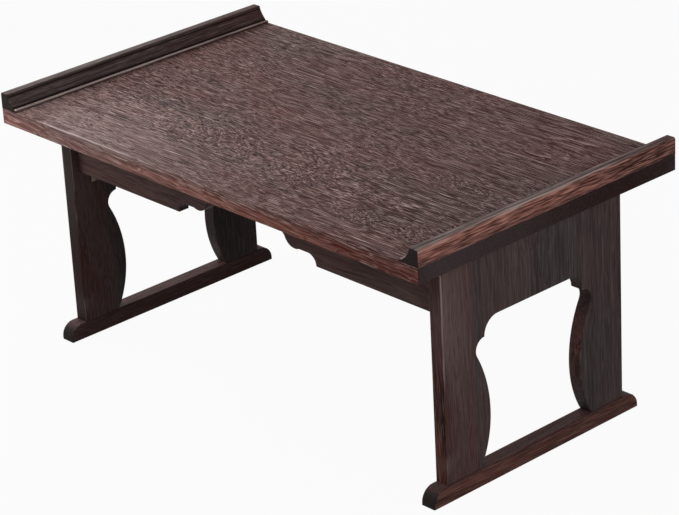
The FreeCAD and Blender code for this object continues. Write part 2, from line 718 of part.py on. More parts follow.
def build_table():
    pieces = [build_top_panel()]
    for side, turn in SIDES.items():
        pieces.append(build_end_lip(f"{side}_end_lip", turn))
        pieces.append(build_end_batten(f"{side}_end_batten", turn))
        pieces.append(build_hinge_rail(f"{side}_hinge_rail", turn))
        pieces.append(build_leg_panel(f"{side}_leg_panel", turn))
        pieces.append(build_foot(f"{side}_foot", turn))
        side_x = 1 if side == "right" else -1
        for face, side_y in (("front", -1), ("back", 1)):
            pieces.append(build_corner_block(f"{face}_{side}_corner_block", side_x, side_y))
    for face, turn in FACES.items():
        pieces.append(build_apron(f"{face}_apron", turn))
    return pieces + build_hinges() + build_fasteners()


def check(pieces):
    """Stop on a failed feature, an empty or invalid solid, or a cut that removed nothing."""
    for thing in doc.Objects:
        if {"Invalid", "Error"} & set(thing.State):
            raise RuntimeError(f"{thing.Label} did not build: {thing.State}")
    for piece in pieces:
        if piece.Shape.isNull() or not piece.Shape.isValid() or not piece.Shape.Solids:
            raise RuntimeError(f"{piece.Label} has no valid solid")
        for feature in getattr(piece, "Group", []):
            if feature.TypeId in ("PartDesign::Pocket", "PartDesign::Groove"):
                if feature.BaseFeature.Shape.Volume - feature.Shape.Volume < LEAST_CUT:
                    raise RuntimeError(f"{piece.Label}: {feature.Name} cuts nothing")


table = build_table()
doc.recompute()
check(table)
os.makedirs("parts", exist_ok=True)
for piece in table:
    piece.Shape.exportStep(f"parts/{piece.Label}.step")
    print(piece.Label, len(piece.Shape.Solids), round(piece.Shape.Volume / 1000, 2))
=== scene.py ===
"""Folding low table in dark roasted wood: the looks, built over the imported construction.

Every piece is in metres, in the construction's own frame: X runs along the top, Y from front
to back and Z up, with the origin on the floor under the middle of the top.
"""

import logging
import math
from dataclasses import dataclass, field, replace
from enum import Enum
from typing import Callable, Iterable, Iterator, Optional, Sequence, Union

import bmesh
import bpy
from mathutils import Matrix, Vector


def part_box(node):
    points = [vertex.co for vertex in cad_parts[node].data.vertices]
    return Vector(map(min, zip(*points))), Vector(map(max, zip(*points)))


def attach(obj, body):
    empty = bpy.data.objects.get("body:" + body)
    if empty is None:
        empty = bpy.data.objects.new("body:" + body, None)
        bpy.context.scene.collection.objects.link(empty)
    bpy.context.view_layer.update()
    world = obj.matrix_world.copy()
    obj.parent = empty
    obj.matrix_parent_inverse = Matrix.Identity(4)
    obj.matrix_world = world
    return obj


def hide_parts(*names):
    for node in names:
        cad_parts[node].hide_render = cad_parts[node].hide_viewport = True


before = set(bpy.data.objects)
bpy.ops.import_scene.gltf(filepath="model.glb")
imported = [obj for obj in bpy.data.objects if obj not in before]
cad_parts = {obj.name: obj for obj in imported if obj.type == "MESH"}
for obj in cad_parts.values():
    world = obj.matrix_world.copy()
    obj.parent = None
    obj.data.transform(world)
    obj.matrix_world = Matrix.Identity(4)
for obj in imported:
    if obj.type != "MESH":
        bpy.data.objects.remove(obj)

LOG = logging.getLogger("low_table")
MM = 0.001
# Longest chord of a traced arc, and the turn beyond which two faces meet in a crisp edge
ARC_CHORD = 1.6 * MM
CRISP_TURN = math.radians(38)
# Dirt that has settled in corners, and painted shade in grooves, creases and under steps
GRIME = (0.006, 0.004, 0.004)
# Steps of a worn corner
CORNER_STEPS = 4
# The most that a corner's inset may run ahead of the sides' inset, and the longest loop undone
MITRE_LIMIT = 2.2
LOOP_REACH = 14
# Points nearer than this are one, and lines whose cross product is under this are parallel
SAME_POINT = 1e-6
SAME_WAY = 1e-14
UP = Vector((0, 0, 1))


class Axis(Enum):
    """A direction of the table's frame."""

    X = 0
    Y = 1
    Z = 2

    def point(self, along: float, first: float, second: float) -> Vector:
        """The point that lies so far along this axis and the two others, in their order."""
        rest = [first, second]
        return Vector([along if k == self.value else rest.pop(0) for k in range(3)])


class Side(Enum):
    """An end of the table, by the sign of X there."""

    LEFT = -1
    RIGHT = 1

    @property
    def word(self) -> str:
        """The name used in pieces and bodies."""
        return self.name.lower()


class Slot(Enum):
    """The finishes, by the names that the record gives them."""

    TOP = "top_wood"
    LIP = "lip_wood"
    LEG = "leg_wood"
    FOOT = "foot_wood"
    APRON = "apron_wood"
    FRAME = "frame_wood"
    DOWEL = "dowel_wood"
    HINGE = "hinge_steel"
    SCREW = "screw_steel"


Colour = tuple[float, float, float]
Places = list[tuple[Vector, Vector]]


def tone(red: int, green: int, blue: int) -> Colour:
    """A colour as light, from how it looks on a screen.

    Args:
        red: Red of the screen colour, 0 to 255.
        green: Green of the screen colour, 0 to 255.
        blue: Blue of the screen colour, 0 to 255.

    Returns:
        The linear colour, each part from 0 to 1.
    """
    def line(part: int) -> float:
        """One part made linear."""
        share = part / 255
        return share / 12.92 if share <= 0.04045 else ((share + 0.055) / 1.055) ** 2.4

    return line(red), line(green), line(blue)


def math_pair(operation: str) -> tuple[Callable, Callable]:
    """An operator of a wire, and its reflected form.

    Args:
        operation: The Math node's operation.

    Returns:
        The methods for the wire on the left and for the wire on the right.
    """
    def plain(wire: "Wire", value: "Feed") -> "Wire":
        """The operation with the wire on the left."""
        return wire.math(operation, wire, value)

    def reflected(wire: "Wire", value: "Feed") -> "Wire":
        """The operation with the wire on the right."""
        return wire.math(operation, value, wire)

    return plain, reflected


class Wire:
    """An output socket on which plain arithmetic works, adding Math nodes to its graph."""

    __add__, __radd__ = math_pair("ADD")
    __sub__, __rsub__ = math_pair("SUBTRACT")
    __mul__, __rmul__ = math_pair("MULTIPLY")
    __truediv__, __rtruediv__ = math_pair("DIVIDE")
    __pow__, __rpow__ = math_pair("POWER")

    def __init__(self, graph: "Graph", socket: bpy.types.NodeSocket) -> None:
        """Hold one socket of a graph."""
        self.graph = graph
        self.socket = socket

    def other(self, output: str) -> "Wire":
        """Another output of the same node."""
        return Wire(self.graph, Graph.find(self.socket.node.outputs, output))

    def math(self, operation: str, *values: "Feed") -> "Wire":
        """A Math node on the given values, in their order."""
        return self.graph.node("ShaderNodeMath", {"operation": operation}, dict(enumerate(values)))

    def fraction(self) -> "Wire":
        """What is left over above the whole number below."""
        return self.math("FRACT", self)

    def whole(self) -> "Wire":
        """The whole number below."""
        return self.math("FLOOR", self)

    def between(self, low: float, high: float) -> "Wire":
        """A smooth rise from 0 at low to 1 at high.

        Args:
            low: Where the rise starts.
            high: Where it ends.

        Returns:
            The share of the rise, held from 0 to 1.
        """
        settings = {"interpolation_type": "SMOOTHSTEP", "clamp": True}
        sockets = {"Value": self, "From Min": low, "From Max": high}
        return self.graph.node("ShaderNodeMapRange", settings, sockets)


Feed = Union[Wire, float, int, bool, Sequence[float], str, bpy.types.ID]


class Graph:
    """A node tree that is built from Python expressions."""

    def __init__(self, tree: bpy.types.NodeTree) -> None:
        """Start on an empty tree."""
        self.tree = tree
        tree.nodes.clear()

    @staticmethod
    def find(sockets: Iterable[bpy.types.NodeSocket], key: Union[int, str]) -> bpy.types.NodeSocket:
        """A socket by its number, identifier or name.

        Args:
            sockets: The inputs or outputs of a node.
            key: Number, identifier or name.

        Returns:
            The socket.
        """
        if isinstance(key, int):
            return sockets[key]
        for label in ("identifier", "name"):
            for socket in sockets:
                if getattr(socket, label) == key and socket.enabled:
                    return socket
        raise KeyError(key)

    def node(self, kind: str, settings: Optional[dict] = None,
             sockets: Optional[dict] = None, output: Union[int, str] = 0) -> Wire:
        """Add a node, set it up and feed it.

        Args:
            kind: The node's type.
            settings: The node's own properties, which are set first.
            sockets: Values or wires for its inputs.
            output: The output to go on from.

        Returns:
            That output.
        """
        made = self.tree.nodes.new(kind)
        for name, value in (settings or {}).items():
            setattr(made, name, value)
        for key, value in (sockets or {}).items():
            self.feed(self.find(made.inputs, key), value)
        return Wire(self, self.find(made.outputs, output)) if made.outputs else None

    def feed(self, socket: bpy.types.NodeSocket, value: Feed) -> None:
        """Link or set a socket.

        Args:
            socket: The input.
            value: A wire, several wires for a socket of many, or the socket's own value.
        """
        if isinstance(value, Wire):
            self.tree.links.new(value.socket, socket)
        elif isinstance(value, list):
            for wire in value:
                self.tree.links.new(wire.socket, socket)
        elif socket.type == "RGBA":
            socket.default_value = (*value, 1.0)
        else:
            socket.default_value = value

    def vector(self, x: Feed, y: Feed, z: Feed) -> Wire:
        """A vector from its three parts."""
        return self.node("ShaderNodeCombineXYZ", sockets={0: x, 1: y, 2: z})

    def noise(self, x: Feed, y: Feed, z: Feed, detail: float = 2.0, rough: float = 0.5,
              w: Optional[Feed] = None) -> Wire:
        """Cloudy noise at a point, from about 0 to 1.

        Args:
            x: First coordinate, in features.
            y: Second coordinate.
            z: Third coordinate.
            detail: How many finer layers are added.
            rough: How strong each finer layer is.
            w: Fourth coordinate, where the noise has one.

        Returns:
            The noise's level.
        """
        sockets = {"Vector": self.vector(x, y, z), "Scale": 1.0, "Detail": detail, "Roughness": rough}
        if w is not None:
            sockets["W"] = w
        return self.node("ShaderNodeTexNoise", {"noise_dimensions": "3D" if w is None else "4D"}, sockets)

    def mix(self, share: Feed, first: Feed, second: Feed) -> Wire:
        """A colour between two.

        Args:
            share: How much of the second is taken.
            first: Colour at 0.
            second: Colour at 1.

        Returns:
            The mixed colour.
        """
        settings = {"data_type": "RGBA", "blend_type": "MIX", "clamp_factor": True}
        sockets = {"Factor_Float": share, "A_Color": first, "B_Color": second}
        return self.node("ShaderNodeMix", settings, sockets, "Result_Color")

    def attribute(self, name: str) -> Wire:
        """A number that the mesh carries under that name."""
        return self.node("ShaderNodeAttribute", {"attribute_name": name}, output="Fac")

    def place(self) -> list[Wire]:
        """The three Object coordinates of a point.

        Returns:
            X, Y and Z.
        """
        vector = self.node("ShaderNodeTexCoord", output="Object")
        x = self.node("ShaderNodeSeparateXYZ", sockets={0: vector}, output="X")
        return [x, x.other("Y"), x.other("Z")]

    def lead_out(self, shader: Wire) -> None:
        """Lead a shader to the material's output."""
        self.node("ShaderNodeOutputMaterial", sockets={"Surface": shader})

    def surface(self, relief: Wire, strength: float, depth: float, sockets: dict[str, Feed]) -> None:
        """Make a surface with a bump and lead it to the material's output.

        Args:
            relief: The bump's height.
            strength: How strongly the bump shows.
            depth: How deep it is, in metres.
            sockets: The surface's other sockets.
        """
        bump = self.node("ShaderNodeBump", sockets={
            "Strength": strength, "Distance": depth, "Height": relief})
        self.lead_out(self.node("ShaderNodeBsdfPrincipled", sockets={**sockets, "Normal": bump}))


def material_graph(name: str) -> tuple[bpy.types.Material, Graph]:
    """An empty material and the graph of its nodes.

    Args:
        name: The material's name.

    Returns:
        The material and its graph.
    """
    material = bpy.data.materials.new(name)
    material.use_nodes = True
    return material, Graph(material.node_tree)


def background_seen(graph: Graph) -> Wire:
    """1 for a ray from the camera, or for one that a gloss or a glass sends on, and 0 for other rays."""
    camera = graph.node("ShaderNodeLightPath", output="Is Camera Ray")
    return camera + camera.other("Is Glossy Ray") + camera.other("Is Transmission Ray")


@dataclass(frozen=True)
class Finish:
    """A finish that one slot of the record takes."""

    slot: Slot

    def build(self) -> bpy.types.Material:
        """Make the material.

        Returns:
            The material, named for its slot.
        """
        material, graph = material_graph(self.slot.value)
        self.shade(graph)
        return material

    def shade(self, graph: Graph) -> None:
        """Draw the finish in an empty graph."""
        raise NotImplementedError


@dataclass(frozen=True)
class Seam:
    """A plane where the tone changes: its axis, its place, and how far the change is spread."""

    axis: Axis
    place: float
    blend: float = 0.35 * MM


@dataclass(frozen=True)
class Spot:
    """A soft oval on a face: where it lies along the grain and across Y, its reach and its strength."""

    along: float
    across: float
    length: float
    width: float
    strength: float

    def swell(self, along: Wire, across: Wire) -> Wire:
        """What the spot adds at a point, from its two coordinates on the face."""
        ahead, aside = (along - self.along) / self.length, (across - self.across) / self.width
        return self.strength * math.e ** (-1 * (ahead * ahead + aside * aside))


@dataclass(frozen=True)
class LogPlace:
    """Where a point lies in its log: along the fibres, two ways across, and out from the pith."""

    along: Wire
    across: Wire
    through: Wire
    radius: Wire


@dataclass(frozen=True)
class Figure:
    """The marks that the wood shows at a point, each from 0 to 1."""

    streak: Wire
    fine: Wire
    speck: Wire
    fleck: Wire
    pore: Wire
    patch: Wire
    late: Wire
    ring: Wire


@dataclass(frozen=True)
class RoastedWood(Finish):
    """Brushed, roasted wood with wide rings and open pores, cut along a board's grain.

    The pith is the line that the rings go round; lean is its slope, in metres a metre, so that
    the rings run out into arches on a face that they nearly touch. Lengths are metres.
    """

    grain: Axis
    dark: Colour
    body: Colour
    light: Colour
    ruddy: Colour
    blush_dark: Colour
    blush_light: Colour
    end: Colour
    # The worn colour also paints the sheen where the tone spots lift, and on the top a bright arris line
    # that is partly a painted highlight
    worn: Colour
    # The painted glow: the colour that the side tone turns to past 1, a painted lit band
    raw: Colour
    pith: tuple[float, float, float]
    lean: tuple[float, float] = (0.0, 0.0)
    ring: float = 7.0 * MM
    ring_depth: float = 0.35
    fleck_share: float = 0.8
    pore_share: float = 0.9
    ruddy_share: float = 0.6
    wear_share: float = 1.0
    wander: float = 8.0 * MM
    shiver: float = 0.8 * MM
    fleck_width: float = 1.0 * MM
    fleck_length: float = 9.0 * MM
    pore_length: float = 24.0 * MM
    fine_length: float = 80.0 * MM
    streak_width: float = 14.0 * MM
    streak_depth: float = 1.6
    fine_depth: float = 1.1
    side_streak: float = 1.3
    side_speck: float = 1.3
    side_fleck: float = 0.4
    roughness: float = 0.5
    specular: float = 0.03
    bump: float = 0.5
    seam: Optional[Seam] = None
    joints: tuple[float, ...] = ()
    eyes: tuple[Spot, ...] = ()
    # Spots of tone along the grain and across Y: partly the wood's own tone and partly painted light, such
    # as the top's painted sheen at the front left and painted shade at its back and right
    tones: tuple[Spot, ...] = ()
    seed: float = 0.0

    # Lengths along and across the fibres of the slow and quick sways, of streaks and of patches
    SLOW_SWAY = (0.26, 0.10)
    QUICK_SWAY = (0.03, 0.012)
    STREAK_LENGTH = 0.35
    PATCH = (0.2, 0.06)
    # How deep the pores and lines of the brushed surface are
    RELIEF = 0.5 * MM
    # Half width of a glued joint's line, where it is full and where it ends
    JOINT_LINE = (0.3 * MM, 1.2 * MM)

    def shade(self, graph: Graph) -> None:
        """Draw the wood, from where each point lies in its log.

        Args:
            graph: The material's empty graph.
        """
        parts = graph.place()
        figure = self._figure(graph, self._log(graph, parts))
        rough = self.roughness + figure.pore * 0.2 - figure.fleck * 0.1 + (figure.patch - 0.5) * 0.2
        height = figure.fleck * 0.5 + figure.fine * 0.5 - figure.pore - figure.late * 0.3
        graph.surface(height, self.bump, self.RELIEF, {
            "Base Color": self._colour(graph, figure, parts), "Roughness": rough,
            "Specular IOR Level": self.specular})

    def _log(self, graph: Graph, parts: Sequence[Wire]) -> LogPlace:
        """Where a point lies in the log.

        Args:
            graph: The material's graph.
            parts: The point's three coordinates.

        Returns:
            The place, with the slow wander and quick shiver of the fibres in it.
        """
        sides = list(parts)
        fibre = sides.pop(self.grain.value)
        along = fibre - self.pith[self.grain.value]
        middles = [self.pith[k] for k in range(3) if k != self.grain.value]
        ways = []
        for number, (side, middle, lean) in enumerate(zip(sides, middles, self.lean)):
            way = side - middle + along * lean
            for (length, width), reach, shift in (
                    (self.SLOW_SWAY, self.wander, 3.1 * number + self.seed),
                    (self.QUICK_SWAY, self.shiver, 5.7 * number)):
                sway = graph.noise(along / length + shift, sides[0] / width, sides[1] / width, 1.0)
                way = way + (sway - 0.5) * (2 * reach)
            ways.append(way)
        across, through = ways
        radius = (across * across + through * through) ** 0.5
        for eye in self.eyes:
            radius = radius + eye.swell(fibre, parts[Axis.Y.value])
        return LogPlace(along, across, through, radius)

    def _figure(self, graph: Graph, log: LogPlace) -> Figure:
        """The marks at a place in the log.

        Args:
            graph: The material's graph.
            log: The place.

        Returns:
            The marks.
        """
        def lines(length: float, width: float, shift: float, detail: float = 1.0) -> Wire:
            """Noise drawn out along the fibres and round the rings."""
            return graph.noise(log.along / length + shift, log.radius / width, log.through / (1.5 * width),
                               detail, w=log.across / (1.2 * width))

        width = self.fleck_width
        dash = lines(self.fleck_length, width, self.seed + 4.1)
        thread = lines(2 * self.fine_length, width, self.seed + 9.2)
        count = log.radius / self.ring
        phase = count.fraction()
        ring_tone = graph.node("ShaderNodeTexWhiteNoise", {"noise_dimensions": "1D"},
                               {"W": count.whole() + self.seed})
        hole = lines(self.pore_length, 0.8 * width, self.seed + 7.3, 0.0)
        length, spread = self.PATCH
        patch = graph.noise(log.along / length + self.seed, log.across / spread, log.through / spread)
        return Figure(
            streak=lines(self.STREAK_LENGTH, self.streak_width, self.seed, 3.0),
            fine=lines(self.fine_length, 2.4 * width, self.seed + 1.7, 2.0),
            speck=dash,
            fleck=(dash.between(0.50, 0.68) + thread.between(0.52, 0.68) * 0.6) * self.fleck_share,
            pore=hole.between(0.54, 0.66) * self.pore_share,
            patch=patch,
            late=phase.between(0.45, 0.9) * (1 - phase.between(0.92, 1.0)),
            ring=ring_tone,
        )

    def _colour(self, graph: Graph, figure: Figure, parts: Sequence[Wire]) -> Wire:
        """The wood's colour: face, side, pores, joints, end grain, dirt and painted shade, and wear, each
        over the last, with the tone spots' painted sheen and shade in several.

        Args:
            graph: The material's graph.
            figure: The marks at the point.
            parts: The point's three coordinates.

        Returns:
            The colour.
        """
        below = self._below(figure, parts)
        marks = (figure.streak, figure.fine, figure.speck, figure.patch)
        streak, fine, speck, patch = (mark - 0.5 for mark in marks)
        along, across = parts[self.grain.value], parts[Axis.Y.value]
        # The tone spots summed: the wood's own tone, and painted sheen and painted shade
        shade = sum((spot.swell(along, across) for spot in self.tones), 0.0)
        level = 0.5 + shade + (streak + (figure.ring - 0.5) * 0.15) * self.streak_depth
        level = level + fine * self.fine_depth + patch * 0.45
        face = graph.mix(level.between(0.0, 1.0), self.dark, self.body)
        red = (figure.patch.between(0.35, 0.7) * 0.6 + below) * self.ruddy_share
        face = graph.mix(red, face, self.ruddy)
        # Redder where the spots darken, partly painted shade
        face = graph.mix(shade * -0.8, face, self.ruddy)
        face = graph.mix(figure.fleck, face, self.light)
        # Painted sheen: paler and greyer towards the worn colour where the spots lift
        face = graph.mix(shade * 0.4, face, self.worn)
        blush = graph.attribute("blush")
        level = 0.5 + shade + streak * self.side_streak + speck * self.side_speck
        side = graph.mix(level.between(0.0, 1.0), self.blush_dark, self.blush_light)
        side = graph.mix(figure.fleck * self.side_fleck, side, self.worn)
        # Past 1 the side tone turns to the painted glow, the painted lit band inside the right leg's
        # opening
        side = graph.mix((blush - 1) * (0.1 + patch + speck), side, self.raw)
        # Less side tone where the spots lift, so that the painted sheen greys the top's front edge at the
        # left, and more where they darken
        colour = graph.mix(blush * (0.2 + below * 0.8) * (1 - 2 * shade), face, side)
        colour = graph.mix(figure.late * self.ring_depth, colour, self.dark)
        colour = graph.mix(figure.pore * (1 - blush * 0.6), colour, self.dark)
        for place in self.joints:
            gap = across - place
            line = 1 - gap.math("ABSOLUTE", gap).between(*self.JOINT_LINE)
            colour = graph.mix(line * figure.streak.between(0.4, 0.6) * 0.35, colour, self.light)
        # End grain darker where the spots darken and paler where they lift, partly painted shade and sheen
        grey = graph.mix(figure.fine.between(0.2, 0.9) * 0.7 - shade * 1.5, self.end, self.dark)
        colour = graph.mix(graph.attribute("end").between(0.35, 0.8), colour, grey)
        rub = graph.attribute("wear")
        # Below 0 the wear darkens towards dirt and painted shade: painted shade in the lips' grooves, under
        # their steps and at the seat's shoulders, and a little dirt everywhere from the fine lines
        colour = graph.mix((fine * 0.6 - rub).between(0.1, 0.9) * 0.9, colour, GRIME)
        # Wear on the rims, stronger where the spots lift, so that the top's pale arris line at the front
        # left is partly a painted highlight
        wear = rub * 1.2 + streak * 2.2 + fine * 1.6 + shade - 0.65
        return graph.mix(wear.between(0.0, 0.8) * self.wear_share, colour, self.worn)

    def _below(self, figure: Figure, parts: Sequence[Wire]) -> Feed:
        """How far a point lies below the seam.

        Args:
            figure: The marks at the point, which fray the change of tone.
            parts: The point's three coordinates.

        Returns:
            The share, from 0 above to 1 below, and 1 where the wood has no seam.
        """
        if self.seam is None:
            return 1.0
        depth = self.seam.place - parts[self.seam.axis.value] + (figure.fine - 0.5) * (2 * self.seam.blend)
        return depth.between(-self.seam.blend, self.seam.blend)


@dataclass(frozen=True)
class BareBeech(Finish):
    """Pale turned beech with short flecks along its length."""

    pale: Colour = tone(196, 158, 116)
    deep: Colour = tone(150, 108, 74)

    def shade(self, graph: Graph) -> None:
        """Draw the beech.

        Args:
            graph: The material's empty graph.
        """
        x, y, z = graph.place()
        fleck = graph.noise(x / (0.8 * MM), y / (0.8 * MM), z / (5 * MM), 2.0)
        cloud = graph.noise(x / (6 * MM), y / (6 * MM), z / (30 * MM), 2.0)
        colour = graph.mix(fleck.between(0.45, 0.7) * 0.6 + cloud * 0.3, self.pale, self.deep)
        graph.surface(fleck, 0.3, 0.1 * MM, {"Base Color": colour, "Roughness": 0.55 + cloud * 0.2})


@dataclass(frozen=True)
class DullSteel(Finish):
    """Bronzed steel gone dull, with fine rolling marks along Y and darker specks."""

    bright: Colour
    stain: Colour
    roughness: float = 0.38

    def shade(self, graph: Graph) -> None:
        """Draw the steel.

        Args:
            graph: The material's empty graph.
        """
        x, y, z = graph.place()
        marks = graph.noise(x / (0.4 * MM), y / (12 * MM), z / (0.4 * MM), 3.0)
        clouds = graph.noise(x / (5 * MM), y / (8 * MM), z / (5 * MM), 4.0, 0.6)
        specks = clouds.between(0.56, 0.72)
        colour = graph.mix(specks * 0.7 + marks * 0.2, self.bright, self.stain)
        graph.surface(marks - specks * 0.5, 0.25, 0.05 * MM, {
            "Base Color": colour, "Metallic": 1 - specks * 0.35,
            "Roughness": self.roughness + specks * 0.25 + marks * 0.12})


@dataclass(frozen=True)
class PaleFloor:
    """A white floor that keeps a soft shadow."""

    colour: Colour = (0.35, 0.35, 0.35)
    white: Colour = (1.0, 1.0, 1.0)
    white_share: float = 0.95

    def build(self) -> bpy.types.Material:
        """Make the material.

        Returns:
            The floor's material.
        """
        material, graph = material_graph("pale_floor")
        matt = graph.node("ShaderNodeBsdfDiffuse", sockets={"Color": self.colour})
        glow = graph.node("ShaderNodeEmission", sockets={"Color": self.white, "Strength": 1.0})
        shader = graph.node("ShaderNodeMixShader", sockets={
            0: background_seen(graph) * self.white_share, 1: matt, 2: glow})
        graph.lead_out(shader)
        return material


@dataclass(frozen=True)
class Corner:
    """A corner of an outline, in metres.

    soft is the radius of the worn edge there, and worn how pale it is rubbed, or how dark with dirt
    and painted shade where it is negative. bend is the radius of the arc that leads on to the next
    corner: positive turns left, negative turns right, and 0 runs straight.
    """

    u: float
    v: float
    soft: float = 0.0
    bend: float = 0.0
    worn: float = 0.0

    @property
    def point(self) -> Vector:
        """The corner as a vector."""
        return Vector((self.u, self.v))


def arc_points(start: Vector, end: Vector, bend: float) -> list[Vector]:
    """Points inside the shorter arc between two points.

    Args:
        start: Where the arc starts.
        end: Where it ends.
        bend: Its radius, positive where it turns left.

    Returns:
        The points between the two ends.
    """
    chord = end - start
    reach = math.sqrt(max(bend ** 2 - (chord.length / 2) ** 2, 0.0))
    normal = Vector((-chord.y, chord.x)).normalized()
    centre = (start + end) / 2 + normal * math.copysign(reach, bend)
    sweep = 2 * math.asin(min(1.0, chord.length / (2 * abs(bend))))
    steps = max(2, math.ceil(sweep * abs(bend) / ARC_CHORD))
    turn = math.copysign(sweep / steps, bend)
    return [centre + Matrix.Rotation(turn * k, 2) @ (start - centre) for k in range(1, steps)]


@dataclass
class Outline:
    """A closed outline, counter-clockwise, with how worn each of its points is."""

    points: list[Vector] = field(default_factory=list)
    wear: list[float] = field(default_factory=list)

    @classmethod
    def trace(cls, corners: Sequence[Corner], band: float) -> "Outline":
        """Follow corners round, bending and softening them.

        Args:
            corners: The corners, in order round the outline.
            band: How far the wear of a softened corner reaches along its sides.

        Returns:
            The outline.
        """
        path: list[Corner] = []
        for corner, following in zip(corners, [*corners[1:], corners[0]]):
            path.append(corner)
            if corner.bend:
                arc = arc_points(corner.point, following.point, corner.bend)
                worn = max(0.0, min(corner.worn, following.worn))
                path += [Corner(point.x, point.y, worn=worn) for point in arc]
        area = sum(a.point.cross(b.point) for a, b in zip(path, [*path[1:], path[0]]))
        if area < 0:
            path.reverse()
        made = cls()
        for k, corner in enumerate(path):
            made._add(path[k - 1].point, corner, path[(k + 1) % len(path)].point, band)
        return made

    def _add(self, before: Vector, corner: Corner, after: Vector, band: float) -> None:
        """Add one corner, rounded off where it is soft.

        Args:
            before: The point before it.
            corner: The corner.
            after: The point after it.
            band: How far its wear reaches along its sides.
        """
        point = corner.point
        if not corner.soft:
            self.points.append(point)
            self.wear.append(corner.worn)
            return
        back, ahead = before - point, after - point
        reach = min(corner.soft, 0.4 * back.length, 0.4 * ahead.length)
        start, end = point + back.normalized() * reach, point + ahead.normalized() * reach
        if back.length > 3 * (reach + band):
            self.points.append(point + back.normalized() * (reach + band))
            self.wear.append(0.0)
        for k in range(CORNER_STEPS + 1):
            share = k / CORNER_STEPS
            self.points.append(start.lerp(point, share).lerp(point.lerp(end, share), share))
            self.wear.append(corner.worn)
        if ahead.length > 3 * (reach + band):
            self.points.append(point + ahead.normalized() * (reach + band))
            self.wear.append(0.0)

    def normals(self) -> list[Vector]:
        """The outward direction at each point."""
        ways = [b - a for a, b in zip([self.points[-1], *self.points], [*self.points[1:], self.points[0]])]
        return [Vector((way.y, -way.x)).normalized() for way in ways]

    def inset(self, distance: float) -> list[Vector]:
        """The outline's points moved inwards, held back where moving them would cross the outline.

        Args:
            distance: How far each side moves in.

        Returns:
            The moved points, in the same order.
        """
        count = len(self.points)
        moved = []
        for k, point in enumerate(self.points):
            back = (point - self.points[k - 1]).normalized()
            ahead = (self.points[(k + 1) % count] - point).normalized()
            inward = Vector((-back.y - ahead.y, back.x + ahead.x))
            mitre = min(MITRE_LIMIT, 2 / max(inward.length, SAME_POINT))
            moved.append(point + inward.normalized() * (distance * mitre))
        return self._uncrossed(moved, distance)

    def _uncrossed(self, moved: list[Vector], distance: float) -> list[Vector]:
        """Draw the points of each small loop together where the loop crosses itself.

        Args:
            moved: The moved points.
            distance: How far they moved.

        Returns:
            The points without loops.
        """
        count = len(moved)
        k = 0
        while distance and k < count:
            for jump in range(min(LOOP_REACH, count - 1), 1, -1):
                a, b = moved[k], moved[(k + 1) % count]
                c, d = moved[(k + jump) % count], moved[(k + jump + 1) % count]
                first, second = b - a, d - c
                turn = first.cross(second)
                if abs(turn) < SAME_WAY:
                    continue
                share, other = (c - a).cross(second) / turn, (c - a).cross(first) / turn
                if 0 < share < 1 and 0 < other < 1:
                    for step in range(1, jump + 1):
                        moved[(k + step) % count] = a.lerp(b, share)
                    break
            k += 1
        return moved


def both_sides(half: Sequence[Corner]) -> list[Corner]:
    """A cut-out from the half of it that lies where u is positive.

    Args:
        half: The half's corners, from its foot to its crown.

    Returns:
        The corners from one foot over the crown to the other foot.
    """
    left = [replace(corner, u=-corner.u) for corner in half]
    bends = [0.0, *(corner.bend for corner in half[:-1])]
    right = [replace(corner, bend=bend) for corner, bend in zip(half, bends)]
    return [*left, *reversed(right)]


@dataclass(frozen=True)
class Arris:
    """How the rim of a face is eased: its radius, the band of wear beside it, and its facets."""

    radius: float = 0.8 * MM
    band: float = 2.0 * MM
    steps: int = 3

    def stations(self) -> Iterator[tuple[float, float, float]]:
        """Rings of points from the face over the rim.

        Returns:
            The depth below the face, the inset from the outline and the wear, ring by ring.
        """
        yield 0.0, self.radius + self.band, 0.0
        for k in range(self.steps + 1):
            angle = math.pi / 2 * k / self.steps
            wear = 0.75 if k in (0, self.steps) else 1.0
            yield self.radius * (1 - math.cos(angle)), self.radius * (1 - math.sin(angle)), wear
        yield self.radius + self.band, 0.0, 0.0


Marking = Callable[[Vector, Vector], float]


